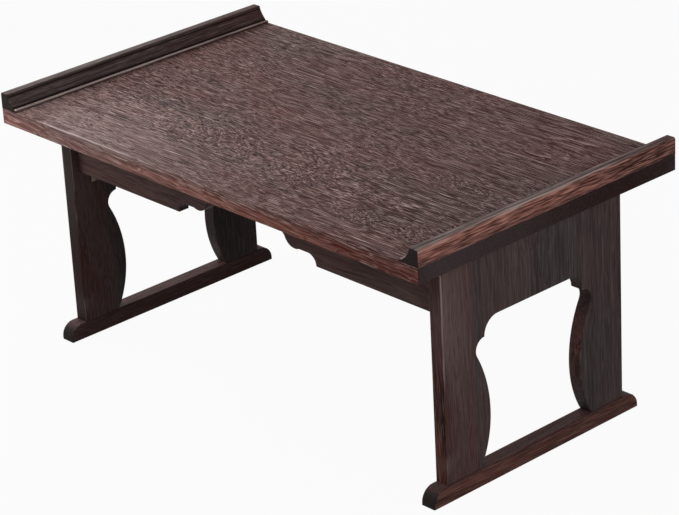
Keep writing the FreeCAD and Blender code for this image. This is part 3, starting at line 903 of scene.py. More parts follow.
def prism(name: str, outline: Outline, axis: Axis, span: tuple[float, float], rims: tuple[Arris, Arris],
          grain: Axis, blush: Marking, rub: Marking) -> bpy.types.Object:
    """A board or moulding: an outline carried along an axis, with eased rims at both faces.

    Args:
        name: The piece's name.
        outline: Its section.
        axis: The axis that the section is carried along.
        span: Where it starts and ends on that axis.
        rims: The eased rims at the start and at the end.
        grain: The direction of the wood's fibres.
        blush: How much of the reddish side tone a face shows, from its normal and its middle.
        rub: How worn the rims are beside a point of the section, from the normal there and its place.

    Returns:
        The new object, linked to the scene.
    """
    low, high = span
    stations = [(low + depth, inset, wear) for depth, inset, wear in rims[0].stations()]
    stations += [(high - depth, inset, wear) for depth, inset, wear in reversed(list(rims[1].stations()))]
    shape = bmesh.new()
    worn = shape.verts.layers.float.new("wear")
    rings = []
    rubs = [rub(axis.point(0.0, *way), axis.point(0.0, *point))
            for way, point in zip(outline.normals(), outline.points)]
    for depth, inset, wear in stations:
        on_face = depth in (low, high) and not wear
        ring = []
        for point, side_wear, share in zip(outline.inset(inset), outline.wear, rubs):
            vertex = shape.verts.new(axis.point(depth, point.x, point.y))
            vertex[worn] = 0.0 if on_face else max(wear * share, side_wear, key=abs)
            ring.append(vertex)
        rings.append(ring)
    count = len(outline.points)
    for first, second in zip(rings, rings[1:]):
        for k in range(count):
            shape.faces.new((first[k], first[(k + 1) % count], second[(k + 1) % count], second[k]))
    shape.faces.new(rings[0])
    shape.faces.new(rings[-1])
    bmesh.ops.remove_doubles(shape, verts=shape.verts, dist=SAME_POINT)
    bmesh.ops.recalc_face_normals(shape, faces=shape.faces)
    mesh = bpy.data.meshes.new(name)
    shape.to_mesh(mesh)
    shape.free()
    mark_faces(mesh, grain, blush)
    mesh.shade_smooth()
    mesh.set_sharp_from_angle(angle=CRISP_TURN)
    return link_piece(name, mesh)


def mark_faces(mesh: bpy.types.Mesh, grain: Axis, blush: Marking) -> None:
    """Write how much grey end grain and side tone each face shows.

    Args:
        mesh: The piece's mesh.
        grain: The direction of the wood's fibres.
        blush: The side tone of a face, from its normal and its middle; below 0 it greys the face, as
            painted shade.
    """
    ends = mesh.attributes.new("end", "FLOAT", "FACE")
    tones = mesh.attributes.new("blush", "FLOAT", "FACE")
    for face in mesh.polygons:
        side = blush(face.normal, face.center)
        ends.data[face.index].value = max(abs(face.normal[grain.value]), -side)
        tones.data[face.index].value = max(side, 0.0)


def link_piece(name: str, mesh: bpy.types.Mesh) -> bpy.types.Object:
    """An object for a mesh, linked to the scene.

    Args:
        name: The object's name.
        mesh: Its mesh.

    Returns:
        The object, at the origin.
    """
    piece = bpy.data.objects.new(name, mesh)
    bpy.context.scene.collection.objects.link(piece)
    return piece


@dataclass
class Workshop:
    """The finishes, and the way that pieces are settled on their bodies."""

    materials: dict[Slot, bpy.types.Material]

    def settle(self, piece: bpy.types.Object, body: str, slot: Slot, *nodes: str) -> None:
        """Give a piece its finish, its body and the nodes that it stands for.

        Args:
            piece: The finished piece.
            body: The body that it rides on.
            slot: Its finish.
            nodes: The construction's nodes that it replaces.
        """
        if not piece.data.materials:
            piece.data.materials.append(self.materials[slot])
        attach(piece, body)
        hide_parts(*nodes)
        LOG.info("%s: %d faces on %s", piece.name, len(piece.data.polygons), body)

    def dress(self, node: str, slot: Slot) -> None:
        """Give a node of the construction its finish.

        Args:
            node: The node's name.
            slot: Its finish.
        """
        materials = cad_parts[node].data.materials
        materials.clear()
        materials.append(self.materials[slot])
        LOG.info("%s: dressed", node)


@dataclass
class TableTop:
    """The slab and the moulded lip that is let into each of its ends."""

    shop: Workshop
    arris: float = 0.9 * MM
    arris_band: float = 0.5 * MM
    seat_depth: float = 1.0 * MM
    seat_room: float = 0.2 * MM
    seat_edge: float = 0.4 * MM
    seat_shoulder: float = 0.3 * MM
    lip_base: float = 27.0 * MM
    lip_crown: float = 12.5 * MM
    lip_crown_edge: float = 1.2 * MM
    lip_round: float = 2.0 * MM
    lip_step: float = 3.5 * MM
    lip_step_slope: float = 0.6 * MM
    lip_cove: float = 40.0 * MM
    lip_cove_foot: float = 0.8 * MM
    lip_quirk: float = 3.0 * MM
    lip_groove: float = 1.3 * MM
    lip_bead: tuple[float, float] = (0.5 * MM, 0.8 * MM)
    lip_rim: Arris = Arris(0.5 * MM, 0.8 * MM)

    # How far edges are rubbed pale, or darkened where it is below 0: dirt and painted shade in the lips'
    # grooves, under their steps and at the seat's shoulders, and darker rims under the slab
    ARRIS_WEAR, UNDER_WEAR, SHOULDER_WEAR = 0.42, -0.3, -0.8
    CROWN_WEAR = {Side.RIGHT: 0.62, Side.LEFT: 0.5}
    OUTER_WEAR, BEAD_WEAR, GROOVE_WEAR, COVE_FOOT_WEAR = 0.6, 1.2, -1.0, -1.2
    RIM_WEAR, OUTER_RIM_WEAR = 0.7, -0.6

    def build(self) -> None:
        """Make the slab and both lips."""
        self._slab()
        for side in Side:
            self._lip(side)

    def _slab(self) -> None:
        """The slab, carried from front to back, with a shallow seat for each lip."""
        low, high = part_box("top_panel")
        seat = high.z - self.seat_depth
        shoulder = high.x - self.lip_base - self.seat_room
        corners = [
            Corner(low.x, low.z, self.arris),
            Corner(high.x, low.z, self.arris),
            Corner(high.x, seat, self.seat_edge),
            Corner(shoulder, seat),
            # The seat's shoulders, where the lips meet the slab, are darkened with dirt and painted shade
            Corner(shoulder, high.z, self.seat_shoulder, worn=self.SHOULDER_WEAR),
            Corner(-shoulder, high.z, self.seat_shoulder, worn=self.SHOULDER_WEAR),
            Corner(-shoulder, seat),
            Corner(low.x, seat, self.seat_edge),
        ]
        rim = Arris(self.arris, self.arris_band)

        def rub(normal: Vector, place: Vector) -> float:
            """The wear of the rims: rubbed along the top, darkened elsewhere."""
            return self.ARRIS_WEAR if normal.z > 0.5 and abs(place.x) < shoulder else self.UNDER_WEAR

        piece = prism("table_top", Outline.trace(corners, 2 * MM), Axis.Y, (low.y, high.y), (rim, rim),
                      Axis.X, lambda normal, _: abs(normal.y), rub)
        self.shop.settle(piece, "table", Slot.TOP, "top_panel")

    def _lip(self, side: Side) -> None:
        """One lip: square outside, with a step, a cove, and a groove and bead inside.

        Args:
            side: The end of the table that it is on.
        """
        node = f"{side.word}_end_lip"
        low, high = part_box(node)
        outer = high.x if side is Side.RIGHT else -low.x
        bead = outer - self.lip_base + self.lip_quirk
        crown = high.z
        step = low.z + self.seat_depth + self.lip_quirk
        crown_wear = self.CROWN_WEAR[side]
        profile = [
            Corner(outer, low.z, self.seat_edge, worn=self.OUTER_WEAR),
            Corner(outer, crown - self.lip_round, worn=self.OUTER_WEAR, bend=self.lip_round),
            Corner(outer - self.lip_round, crown, worn=crown_wear),
            Corner(outer - self.lip_crown / 2, crown, worn=crown_wear),
            Corner(outer - self.lip_crown, crown, self.lip_crown_edge, worn=crown_wear),
            # Dirt and painted shade darken the step under the crown, the cove's foot, the groove behind the
            # bead and the lip's foot
            Corner(outer - self.lip_crown - self.lip_step_slope, crown - self.lip_step,
                   worn=self.GROOVE_WEAR, bend=-self.lip_cove),
            Corner(bead + 2 * self.lip_groove, step + self.lip_cove_foot, worn=self.COVE_FOOT_WEAR),
            Corner(bead + self.lip_groove, step - self.lip_groove, worn=self.GROOVE_WEAR),
            # The bead's pale line is wear and partly a painted highlight
            Corner(bead, step, self.lip_bead[0], worn=self.BEAD_WEAR),
            Corner(bead - self.lip_quirk, step, self.lip_bead[1], worn=self.BEAD_WEAR),
            Corner(bead - self.lip_quirk, low.z, worn=self.GROOVE_WEAR),
        ]
        sign = side.value
        corners = [replace(corner, u=sign * corner.u, bend=sign * corner.bend) for corner in profile]
        piece = prism(f"{side.word}_lip", Outline.trace(corners, 1 * MM), Axis.Y, (low.y, high.y),
                      (self.lip_rim, self.lip_rim), Axis.Y, lambda normal, _: max(0.0, sign * normal.x),
                      lambda normal, _: self.OUTER_RIM_WEAR if sign * normal.x > 0.7 else self.RIM_WEAR)
        self.shop.settle(piece, "table", Slot.LIP, node)


@dataclass
class ApronFrame:
    """The aprons with their cusped lower edges, and the frame that joins them under the top."""

    shop: Workshop
    notch_width: float = 233.0 * MM
    notch_cove: float = 13.0 * MM
    lobe: float = 17.0 * MM
    lobe_drop: float = 1.5 * MM
    lobe_inset: float = 34.5 * MM
    crown_cove: float = 12.0 * MM
    arris: float = 0.9 * MM
    arris_band: float = 2.0 * MM

    RIM_WEAR = 0.3

    def build(self) -> None:
        """Make both aprons, and dress the rails, battens and blocks."""
        for face in ("front", "back"):
            self._apron(face)
        for side in Side:
            self.shop.dress(f"{side.word}_hinge_rail", Slot.FRAME)
            self.shop.dress(f"{side.word}_end_batten", Slot.FRAME)
            for face in ("front", "back"):
                self.shop.dress(f"{face}_{side.word}_corner_block", Slot.FRAME)

    def _apron(self, face: str) -> None:
        """One apron.

        Args:
            face: The side of the table that it is on.
        """
        node = f"{face}_apron"
        low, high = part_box(node)
        rim = Arris(self.arris, self.arris_band)
        outline = Outline.trace(self._edge(low, high), self.arris_band)
        piece = prism(f"{face}_cusped_apron", outline, Axis.Y, (low.y, high.y), (rim, rim), Axis.X,
                      lambda normal, _: max(0.0, -normal.z), lambda *_: self.RIM_WEAR)
        self.shop.settle(piece, "table", Slot.APRON, node)

    def _edge(self, low: Vector, high: Vector) -> list[Corner]:
        """The apron's outline: a cove up from each corner, a hanging lobe, a cove into the middle.

        Args:
            low: Lowest corner of the apron.
            high: Highest corner of the apron.

        Returns:
            The outline's corners, counter-clockwise.
        """
        corner = self.notch_width / 2
        cove_top = low.z + self.notch_cove
        crown = cove_top + self.lobe - self.lobe_drop
        lobe = corner - self.lobe_inset
        start = lobe + math.sqrt(2 * self.lobe * self.lobe_drop - self.lobe_drop ** 2)
        run = math.sqrt(self.lobe ** 2 + 2 * self.lobe * self.crown_cove)
        share = self.lobe / (self.lobe + self.crown_cove)
        meet_u, meet_v = lobe - run * share, crown - self.crown_cove * share
        half = [
            Corner(corner, low.z, self.arris, -self.notch_cove),
            Corner(corner - self.notch_cove, cove_top),
            Corner(start, cove_top, bend=self.lobe),
            Corner(meet_u, meet_v, bend=-self.crown_cove),
            Corner(lobe - run, crown),
        ]
        return [Corner(high.x, high.z), Corner(low.x, high.z), Corner(low.x, low.z, self.arris),
                *both_sides(half), Corner(high.x, low.z, self.arris)]


@dataclass
class FoldingLeg:
    """A leg panel with its ornamental opening, and the sled foot under it."""

    shop: Workshop
    side: Side
    waist_width: float = 143.0 * MM
    waist_height: float = 85.0 * MM
    flare: float = 17.0 * MM
    swell: float = 19.5 * MM
    shoulder: float = 13.5 * MM
    shoulder_height: float = 163.0 * MM
    crown: float = 21.0 * MM
    nose: float = 17.0 * MM
    arris: float = 0.9 * MM
    bevel: float = 2.6 * MM
    arris_band: float = 2.0 * MM
    foot_edge: float = 0.5 * MM
    cusp_edge: float = 1.5 * MM
    sole_edge: float = 0.8 * MM
    post_line: float = 111.0 * MM
    glow_height: float = 105.0 * MM
    glow_reach: float = 45.0 * MM
    glow_floor: float = 0.35

    # Side tones of the posts' outer edges and inside the opening, and how worn the edges are: the left
    # leg's tones are below 0 and grey it as painted shade under the top, and the right leg's opening tone
    # paints a lit band half-way up
    SIDE_TONES = {Side.RIGHT: (1.0, 2.0), Side.LEFT: (-0.7, -0.9)}
    POST_WEAR, OPENING_WEAR, FOOT_WEAR = 0.9, 0.2, 0.4

    def build(self) -> None:
        """Make the panel and the foot."""
        self._panel()
        self._foot()

    @property
    def body(self) -> str:
        """The body that the leg's pieces ride on."""
        return f"{self.side.word}_leg"

    def _panel(self) -> None:
        """The panel, carried through its thickness."""
        node = f"{self.side.word}_leg_panel"
        low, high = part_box(node)
        foot_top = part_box(f"{self.side.word}_foot")[1].z
        edge = [Corner(high.y, foot_top, self.foot_edge), Corner(high.y, high.z, self.arris),
                Corner(low.y, high.z, self.arris), Corner(low.y, foot_top, self.foot_edge)]
        rim = Arris(self.arris, self.arris_band)
        outline = Outline.trace([*edge, *self._opening(foot_top)], self.arris_band)
        piece = prism(f"{self.side.word}_pierced_panel", outline, Axis.X, (low.x, high.x), (rim, rim),
                      Axis.Z, self._side_tone,
                      lambda normal, _: self.POST_WEAR if abs(normal.y) > 0.99 else self.OPENING_WEAR)
        self.shop.settle(piece, self.body, Slot.LEG, node)

    def _side_tone(self, normal: Vector, middle: Vector) -> float:
        """The side tone of a face: on the posts' outer edges the posts' own on the right leg and painted
        shade on the left, and inside the opening a painted lit band on the right leg and painted shade on
        the left, strongest half-way up.

        Args:
            normal: The face's outward direction.
            middle: The face's middle.

        Returns:
            The tone, below 0 where the side is greyed as painted shade.
        """
        post_tone, opening_tone = self.SIDE_TONES[self.side]
        ahead = (middle.z - self.glow_height) / self.glow_reach
        glow = opening_tone * (self.glow_floor + math.exp(-ahead * ahead))
        return (1 - abs(normal.x)) * (post_tone if abs(middle.y) > self.post_line else glow)

    def _opening(self, foot_top: float) -> list[Corner]:
        """The opening's outline: flared at the foot, waisted, round-shouldered and coved on top.

        Args:
            foot_top: Height of the foot, where the opening starts.

        Returns:
            The outline's corners, from the front of the foot round to the back.
        """
        waist = self.waist_width / 2
        lobe = waist + self.swell - self.shoulder
        rise = self.shoulder_height - self.waist_height
        fall = self.waist_height - foot_top
        lower = (fall ** 2 + self.flare ** 2) / (2 * self.flare)
        step = lobe - waist
        upper = (step ** 2 + rise ** 2 - self.shoulder ** 2) / (2 * (self.shoulder + step))
        share = self.shoulder / (upper + self.shoulder)
        cusp = self.shoulder_height + self.shoulder
        half = [
            Corner(waist + self.flare, foot_top, self.foot_edge, lower),
            Corner(waist, self.waist_height, bend=upper),
            Corner(lobe + (upper - step) * share, self.shoulder_height - rise * share, bend=-self.shoulder),
            Corner(lobe, cusp, self.cusp_edge, -self.crown),
            Corner(lobe - self.crown, cusp + self.crown),
        ]
        return both_sides(half)

    def _foot(self) -> None:
        """The foot, carried through its width, with a bevel back to the panel outside."""
        node = f"{self.side.word}_foot"
        low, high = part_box(node)
        corners = [
            Corner(low.y, low.z, self.sole_edge), Corner(high.y, low.z, self.sole_edge),
            Corner(high.y, high.z - self.nose, bend=self.nose), Corner(high.y - self.nose, high.z),
            Corner(low.y + self.nose, high.z, bend=self.nose), Corner(low.y, high.z - self.nose),
        ]
        outer, inner = Arris(self.bevel, 1 * MM, 2), Arris(self.arris, 1.5 * MM)
        rims = (inner, outer) if self.side is Side.RIGHT else (outer, inner)
        sign = self.side.value
        outline = Outline.trace(corners, self.arris_band)
        piece = prism(f"{self.side.word}_sled_foot", outline, Axis.X, (low.x, high.x), rims, Axis.Y,
                      lambda normal, _: max(0.0, sign * normal.x), lambda *_: self.FOOT_WEAR)
        self.shop.settle(piece, self.body, Slot.FOOT, node)


class NodeShape:
    """A Geometry Nodes tree that sets copies of one shape on the points of a mesh."""

    def __init__(self, name: str, sizes: Sequence[str]) -> None:
        """Start the tree, with a named input for each size and for the finish.

        Args:
            name: The tree's name.
            sizes: The names of its sizes.
        """
        self.tree = bpy.data.node_groups.new(name, "GeometryNodeTree")
        self.graph = Graph(self.tree)
        interface = self.tree.interface
        interface.new_socket("Geometry", in_out="INPUT", socket_type="NodeSocketGeometry")
        for size in sizes:
            interface.new_socket(size, in_out="INPUT", socket_type="NodeSocketFloat")
        interface.new_socket("Material", in_out="INPUT", socket_type="NodeSocketMaterial")
        interface.new_socket("Geometry", in_out="OUTPUT", socket_type="NodeSocketGeometry")
        self.inputs = self.graph.node("NodeGroupInput", output="Geometry")

    def size(self, name: str) -> Wire:
        """One of the tree's sizes."""
        return self.inputs.other(name)

    def set_out(self, shape: Wire, seed: int) -> None:
        """Put the shape on each point, aimed along its aim and spun at random, and finish the tree.

        Args:
            shape: The shape, pointing up from its own origin.
            seed: Seed of the spin.
        """
        graph = self.graph
        aim = graph.node("GeometryNodeInputNamedAttribute", {"data_type": "FLOAT_VECTOR"}, {"Name": "aim"})
        aligned = graph.node("FunctionNodeAlignRotationToVector", {"axis": "Z"}, {"Vector": aim})
        angle = graph.node("FunctionNodeRandomValue", {"data_type": "FLOAT"},
                           {"Min_001": 0.0, "Max_001": math.pi, "Seed": seed}, "Value_001")
        spin = graph.node("FunctionNodeAxisAngleToRotation", sockets={"Axis": (0, 0, 1), "Angle": angle})
        turned = graph.node("FunctionNodeRotateRotation", {"rotation_space": "LOCAL"},
                            {"Rotation": aligned, "Rotate By": spin})
        copies = graph.node("GeometryNodeInstanceOnPoints", sockets={
            "Points": self.inputs, "Instance": shape, "Rotation": turned})
        real = graph.node("GeometryNodeRealizeInstances", sockets={"Geometry": copies})
        done = graph.node("GeometryNodeSetMaterial", sockets={
            "Geometry": real, "Material": self.inputs.other("Material")})
        graph.node("NodeGroupOutput", sockets={"Geometry": done})

    def make(self, name: str, places: Places, sizes: dict[str, float],
             material: bpy.types.Material) -> bpy.types.Object:
        """Run the tree on a set of places.

        Args:
            name: The new piece's name.
            places: Each copy's place and aim.
            sizes: The tree's sizes, by name.
            material: The copies' finish.

        Returns:
            The copies as one plain mesh object.
        """
        points = bpy.data.meshes.new(name + "_places")
        points.from_pydata([place for place, _ in places], [], [])
        aims = points.attributes.new("aim", "FLOAT_VECTOR", "POINT")
        for datum, (_, aim) in zip(aims.data, places):
            datum.vector = aim
        source = link_piece(name + "_places", points)
        modifier = source.modifiers.new("copies", "NODES")
        modifier.node_group = self.tree
        values = {**sizes, "Material": material}
        for socket in self.tree.interface.items_tree:
            if socket.in_out == "INPUT" and socket.name in values:
                modifier[socket.identifier] = values[socket.name]
        depsgraph = bpy.context.evaluated_depsgraph_get()
        mesh = bpy.data.meshes.new_from_object(source.evaluated_get(depsgraph))
        mesh.name = name
        bpy.data.objects.remove(source)
        return link_piece(name, mesh)


class CountersunkScrew(NodeShape):
    """Countersunk screws with a crossed recess, each pointing along its aim from its head."""

    SIZES = ("Head Radius", "Shank Radius", "Length")
    ROUND = 28
    # Length, width and depth of a recess, and length of the point in shank radii
    RECESS = (1.25, 0.26, 0.5)
    POINT = 2
    # Ends of head, shank and point nearer than this are one, in metres
    SEAM = 1e-5

    def __init__(self) -> None:
        """Build the tree."""
        super().__init__("countersunk_screws", self.SIZES)
        graph = self.graph
        head, shank, length = (self.size(name) for name in self.SIZES)
        taper = head - shank
        point = shank * self.POINT
        body = graph.node("GeometryNodeMeshCylinder", {"fill_type": "NONE"}, {
            "Vertices": self.ROUND, "Radius": shank, "Depth": length - taper - point})
        shells = [self._cone(head, shank, taper, "Top"),
                  self._lift(body, (length + taper - point) / 2),
                  self._lift(self._cone(shank, 0.0, point, "Bottom"), length - point)]
        joined = graph.node("GeometryNodeJoinGeometry", sockets={"Geometry": shells})
        whole = graph.node("GeometryNodeMergeByDistance",
                           sockets={"Geometry": joined, "Distance": self.SEAM})
        long, wide, deep = (head * share for share in self.RECESS)
        slots = [self._box(long, wide, deep), self._box(wide, long, deep)]
        cut = graph.node("GeometryNodeMeshBoolean", {"operation": "DIFFERENCE", "solver": "EXACT"},
                         {"Mesh 1": whole, "Mesh 2": slots})
        self.set_out(cut, seed=11)

    def _cone(self, low: Wire, top: Feed, height: Wire, open_end: str) -> Wire:
        """A cone or a part of one, standing on the origin.

        Args:
            low: Radius at the foot.
            top: Radius at the top.
            height: Height.
            open_end: The end that gets no cap.

        Returns:
            The open shell.
        """
        cone = self.graph.node("GeometryNodeMeshCone", {"fill_type": "NGON"}, {
            "Vertices": self.ROUND, "Radius Top": top, "Radius Bottom": low, "Depth": height})
        return self.graph.node("GeometryNodeDeleteGeometry", {"domain": "FACE"}, {
            "Geometry": cone, "Selection": cone.other(open_end)})

    def _box(self, x: Feed, y: Feed, z: Feed) -> Wire:
        """A box about the origin."""
        return self.graph.node("GeometryNodeMeshCube", sockets={"Size": self.graph.vector(x, y, z)})

    def _lift(self, shape: Wire, height: Wire) -> Wire:
        """A shape moved up."""
        up = self.graph.vector(0.0, 0.0, height)
        return self.graph.node("GeometryNodeTransform", sockets={"Geometry": shape, "Translation": up})


class FlutedDowel(NodeShape):
    """Dowels with glue flutes, each running along its aim from its foot."""

    SIZES = ("Radius", "Length")
    FLUTES = 14
    FLUTE_FLOOR = 0.93

    def __init__(self) -> None:
        """Build the tree."""
        super().__init__("fluted_dowels", self.SIZES)
        graph = self.graph
        radius, length = (self.size(name) for name in self.SIZES)
        section = graph.node("GeometryNodeCurveStar", sockets={
            "Points": self.FLUTES, "Inner Radius": radius * self.FLUTE_FLOOR, "Outer Radius": radius},
            output="Curve")
        line = graph.node("GeometryNodeCurvePrimitiveLine", {"mode": "POINTS"}, {
            "Start": (0, 0, 0), "End": graph.vector(0.0, 0.0, length)})
        solid = graph.node("GeometryNodeCurveToMesh", sockets={
            "Curve": line, "Profile Curve": section, "Fill Caps": True})
        self.set_out(solid, seed=5)


@dataclass
class Fixings:
    """The hinges, and the screws and dowels that hold the table together."""

    shop: Workshop
    leaf_hole_inset: float = 9.0 * MM
    leaf_hole_pitch: float = 17.0 * MM
    leaf_mouth: float = 1.9 * MM
    hinge_screw: dict[str, float] = field(default_factory=lambda: {
        "Head Radius": 2.9 * MM, "Shank Radius": 1.5 * MM, "Length": 13 * MM})
    wood_screw: dict[str, float] = field(default_factory=lambda: {
        "Head Radius": 3.9 * MM, "Shank Radius": 2.0 * MM})
    batten_screw_pitch: float = 110.0 * MM
    batten_screw_length: float = 28.0 * MM
    block_screw_length: float = 46.0 * MM
    frame_dowel: dict[str, float] = field(default_factory=lambda: {"Radius": 4 * MM, "Length": 30 * MM})
    lip_dowel: dict[str, float] = field(default_factory=lambda: {"Radius": 3 * MM, "Length": 20 * MM})

    def build(self) -> None:
        """Dress the hinges, and make the screws and dowels."""
        screws = CountersunkScrew()
        rail: Places = []
        for side in Side:
            leg: Places = []
            for end in ("front", "back"):
                name = f"{side.word}_{end}_hinge"
                for part in ("rail_leaf", "leg_leaf", "pin"):
                    self.shop.dress(f"{name}_{part}", Slot.HINGE)
                pin_low, pin_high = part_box(f"{name}_pin")
                pin = (pin_low + pin_high) / 2
                rail += self._rail_places(pin, side)
                leg += self._leg_places(pin, side)
            self._screws(screws, f"{side.word}_leg_hinge_screws", f"{side.word}_leg", leg, self.hinge_screw)
        self._screws(screws, "rail_hinge_screws", "table", rail, self.hinge_screw)
        self._frame_screws(screws)
        self._dowels()

    def _along(self, pin: Vector) -> list[float]:
        """Where a leaf's screws lie along its pin."""
        return [pin.y + k * self.leaf_hole_pitch for k in (-1, 0, 1)]

    def _rail_places(self, pin: Vector, side: Side) -> Places:
        """Screws of a rail leaf: up into the rail from the leaf's lower face."""
        x, z = pin.x - side.value * self.leaf_hole_inset, pin.z + self.leaf_mouth
        return [(Vector((x, y, z)), UP) for y in self._along(pin)]

    def _leg_places(self, pin: Vector, side: Side) -> Places:
        """Screws of a leg leaf: outwards into the panel from the leaf's inner face."""
        x, z = pin.x + side.value * self.leaf_mouth, pin.z - self.leaf_hole_inset
        return [(Vector((x, y, z)), Vector((side.value, 0, 0))) for y in self._along(pin)]

    def _screws(self, screws: CountersunkScrew, node: str, body: str, places: Places,
                sizes: dict[str, float]) -> None:
        """One node's screws as one piece."""
        piece = screws.make(f"{node}_crossed", places, sizes, self.shop.materials[Slot.SCREW])
        self.shop.settle(piece, body, Slot.SCREW, node)

    def _frame_screws(self, screws: CountersunkScrew) -> None:
        """The screws up through the battens and the corner blocks.

        Args:
            screws: The screws' tree.
        """
        batten, block = [], []
        for side in Side:
            low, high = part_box(f"{side.word}_end_batten")
            x = (low.x + high.x) / 2
            batten += [(Vector((x, k * self.batten_screw_pitch, low.z)), UP) for k in (-1, 0, 1)]
            for end, sign in (("front", -1), ("back", 1)):
                low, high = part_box(f"{end}_{side.word}_corner_block")
                third = (high - low) / 3
                x = high.x - third.x if side is Side.RIGHT else low.x + third.x
                y = high.y - third.y if sign > 0 else low.y + third.y
                block.append((Vector((x, y, low.z)), UP))
        self._screws(screws, "batten_screws", "table", batten,
                     {**self.wood_screw, "Length": self.batten_screw_length})
        self._screws(screws, "corner_block_screws", "table", block,
                     {**self.wood_screw, "Length": self.block_screw_length})

    def _dowels(self) -> None:
        """The dowels, standing where the construction's own stand."""
        dowels = FlutedDowel()
        for node, sizes in (("frame_dowels", self.frame_dowel), ("lip_dowels", self.lip_dowel)):
            places = [(foot, UP) for foot in solid_feet(node)]
            piece = dowels.make(f"{node}_fluted", places, sizes, self.shop.materials[Slot.DOWEL])
            self.shop.settle(piece, "table", Slot.DOWEL, node)


def solid_feet(node: str) -> list[Vector]:
    """The middle of the lowest face of each separate solid in a node.

    Args:
        node: The node's name.

    Returns:
        One point for each solid.
    """
    shape = bmesh.new()
    shape.from_mesh(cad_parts[node].data)
    bmesh.ops.remove_doubles(shape, verts=shape.verts, dist=SAME_POINT)
    feet, left = [], set(shape.verts)
    while left:
        solid, edge = set(), [next(iter(left))]
        while edge:
            vertex = edge.pop()
            if vertex not in solid:
                solid.add(vertex)
                edge += [link.other_vert(vertex) for link in vertex.link_edges]
        left -= solid
        places = [vertex.co for vertex in solid]
        lows = [min(place[k] for place in places) for k in range(3)]
        highs = [max(place[k] for place in places) for k in range(3)]
        feet.append(Vector(((lows[0] + highs[0]) / 2, (lows[1] + highs[1]) / 2, lows[2])))
    shape.free()
    return sorted(feet, key=tuple)


@dataclass(frozen=True)
class Viewpoint:
    """Where the photograph was taken from: place in metres, turns in degrees, lens in pixels."""

    place: tuple[float, float, float] = (2.3155, -2.0750, 1.5481)
    yaw: float = 48.022
    pitch: float = 24.245
    roll: float = 3.079
    focal: float = 2924.7
    picture_width: float = 679.0
    sensor: float = 36.0
    sight: float = 100.0

    def build(self) -> None:
        """Make the camera and give it to the scene."""
        yaw, pitch, roll = (math.radians(turn) for turn in (self.yaw, self.pitch, self.roll))
        level = math.cos(pitch)
        ahead = Vector((-math.sin(yaw) * level, math.cos(yaw) * level, -math.sin(pitch)))
        right = ahead.cross(UP).normalized()
        down = ahead.cross(right)
        right, down = (math.cos(roll) * right + math.sin(roll) * down,
                       math.cos(roll) * down - math.sin(roll) * right)
        data = bpy.data.cameras.new("photo_camera")
        data.sensor_fit = "HORIZONTAL"
        data.sensor_width = self.sensor
        data.lens = self.focal / self.picture_width * self.sensor
        data.clip_end = self.sight
        camera = link_piece("photo_camera", data)
        turn = Matrix((right, -down, -ahead)).transposed().to_4x4()
        camera.matrix_world = Matrix.Translation(self.place) @ turn
        bpy.context.scene.camera = camera


@dataclass(frozen=True)
class SoftLight:
    """A square soft lamp that looks at the table."""

    name: str
    place: tuple[float, float, float]
    size: float
    power: float
    target: tuple[float, float, float] = (0.0, 0.0, 0.25)

    def build(self) -> None:
        """Make the lamp."""
        data = bpy.data.lights.new(self.name, "AREA")
        data.shape = "SQUARE"
        data.size = self.size
        data.energy = self.power
        lamp = link_piece(self.name, data)
        aim = Vector(self.target) - Vector(self.place)
        turn = aim.to_track_quat("-Z", "Y").to_matrix().to_4x4()
        lamp.matrix_world = Matrix.Translation(self.place) @ turn


@dataclass(frozen=True)
class Studio:
    """A white floor, soft lamps and the sky round them."""

    lamps: tuple[SoftLight, ...]
    view: Viewpoint
    sky: float = 0.15
    floor_reach: float = 40.0
    floor_drop: float = 0.2 * MM

    def build(self) -> None:
        """Make the floor, the lamps, the sky and the camera."""
        reach = self.floor_reach
        mesh = bpy.data.meshes.new("floor")
        corners = [(-reach, -reach), (reach, -reach), (reach, reach), (-reach, reach)]
        mesh.from_pydata([(x, y, -self.floor_drop) for x, y in corners], [], [(0, 1, 2, 3)])
        mesh.materials.append(PaleFloor().build())
        link_piece("floor", mesh)
        for lamp in self.lamps:
            lamp.build()
        self._sky()
        self.view.build()
        bpy.context.scene.view_settings.view_transform = "Standard"

    def _sky(self) -> None:
        """An even sky, white to the camera and in reflections."""
        world = bpy.data.worlds.new("studio_sky")
        world.use_nodes = True
        graph = Graph(world.node_tree)
        strength = self.sky + background_seen(graph) * (1 - self.sky)
        sky = graph.node("ShaderNodeBackground", sockets={"Color": (1.0, 1.0, 1.0), "Strength": strength})
        graph.node("ShaderNodeOutputWorld", sockets={"Surface": sky})
        bpy.context.scene.world = world


def spots(*rows: tuple[float, float, float, float, float]) -> tuple[Spot, ...]:
    """Spots from rows of their numbers."""
    return tuple(Spot(*row) for row in rows)


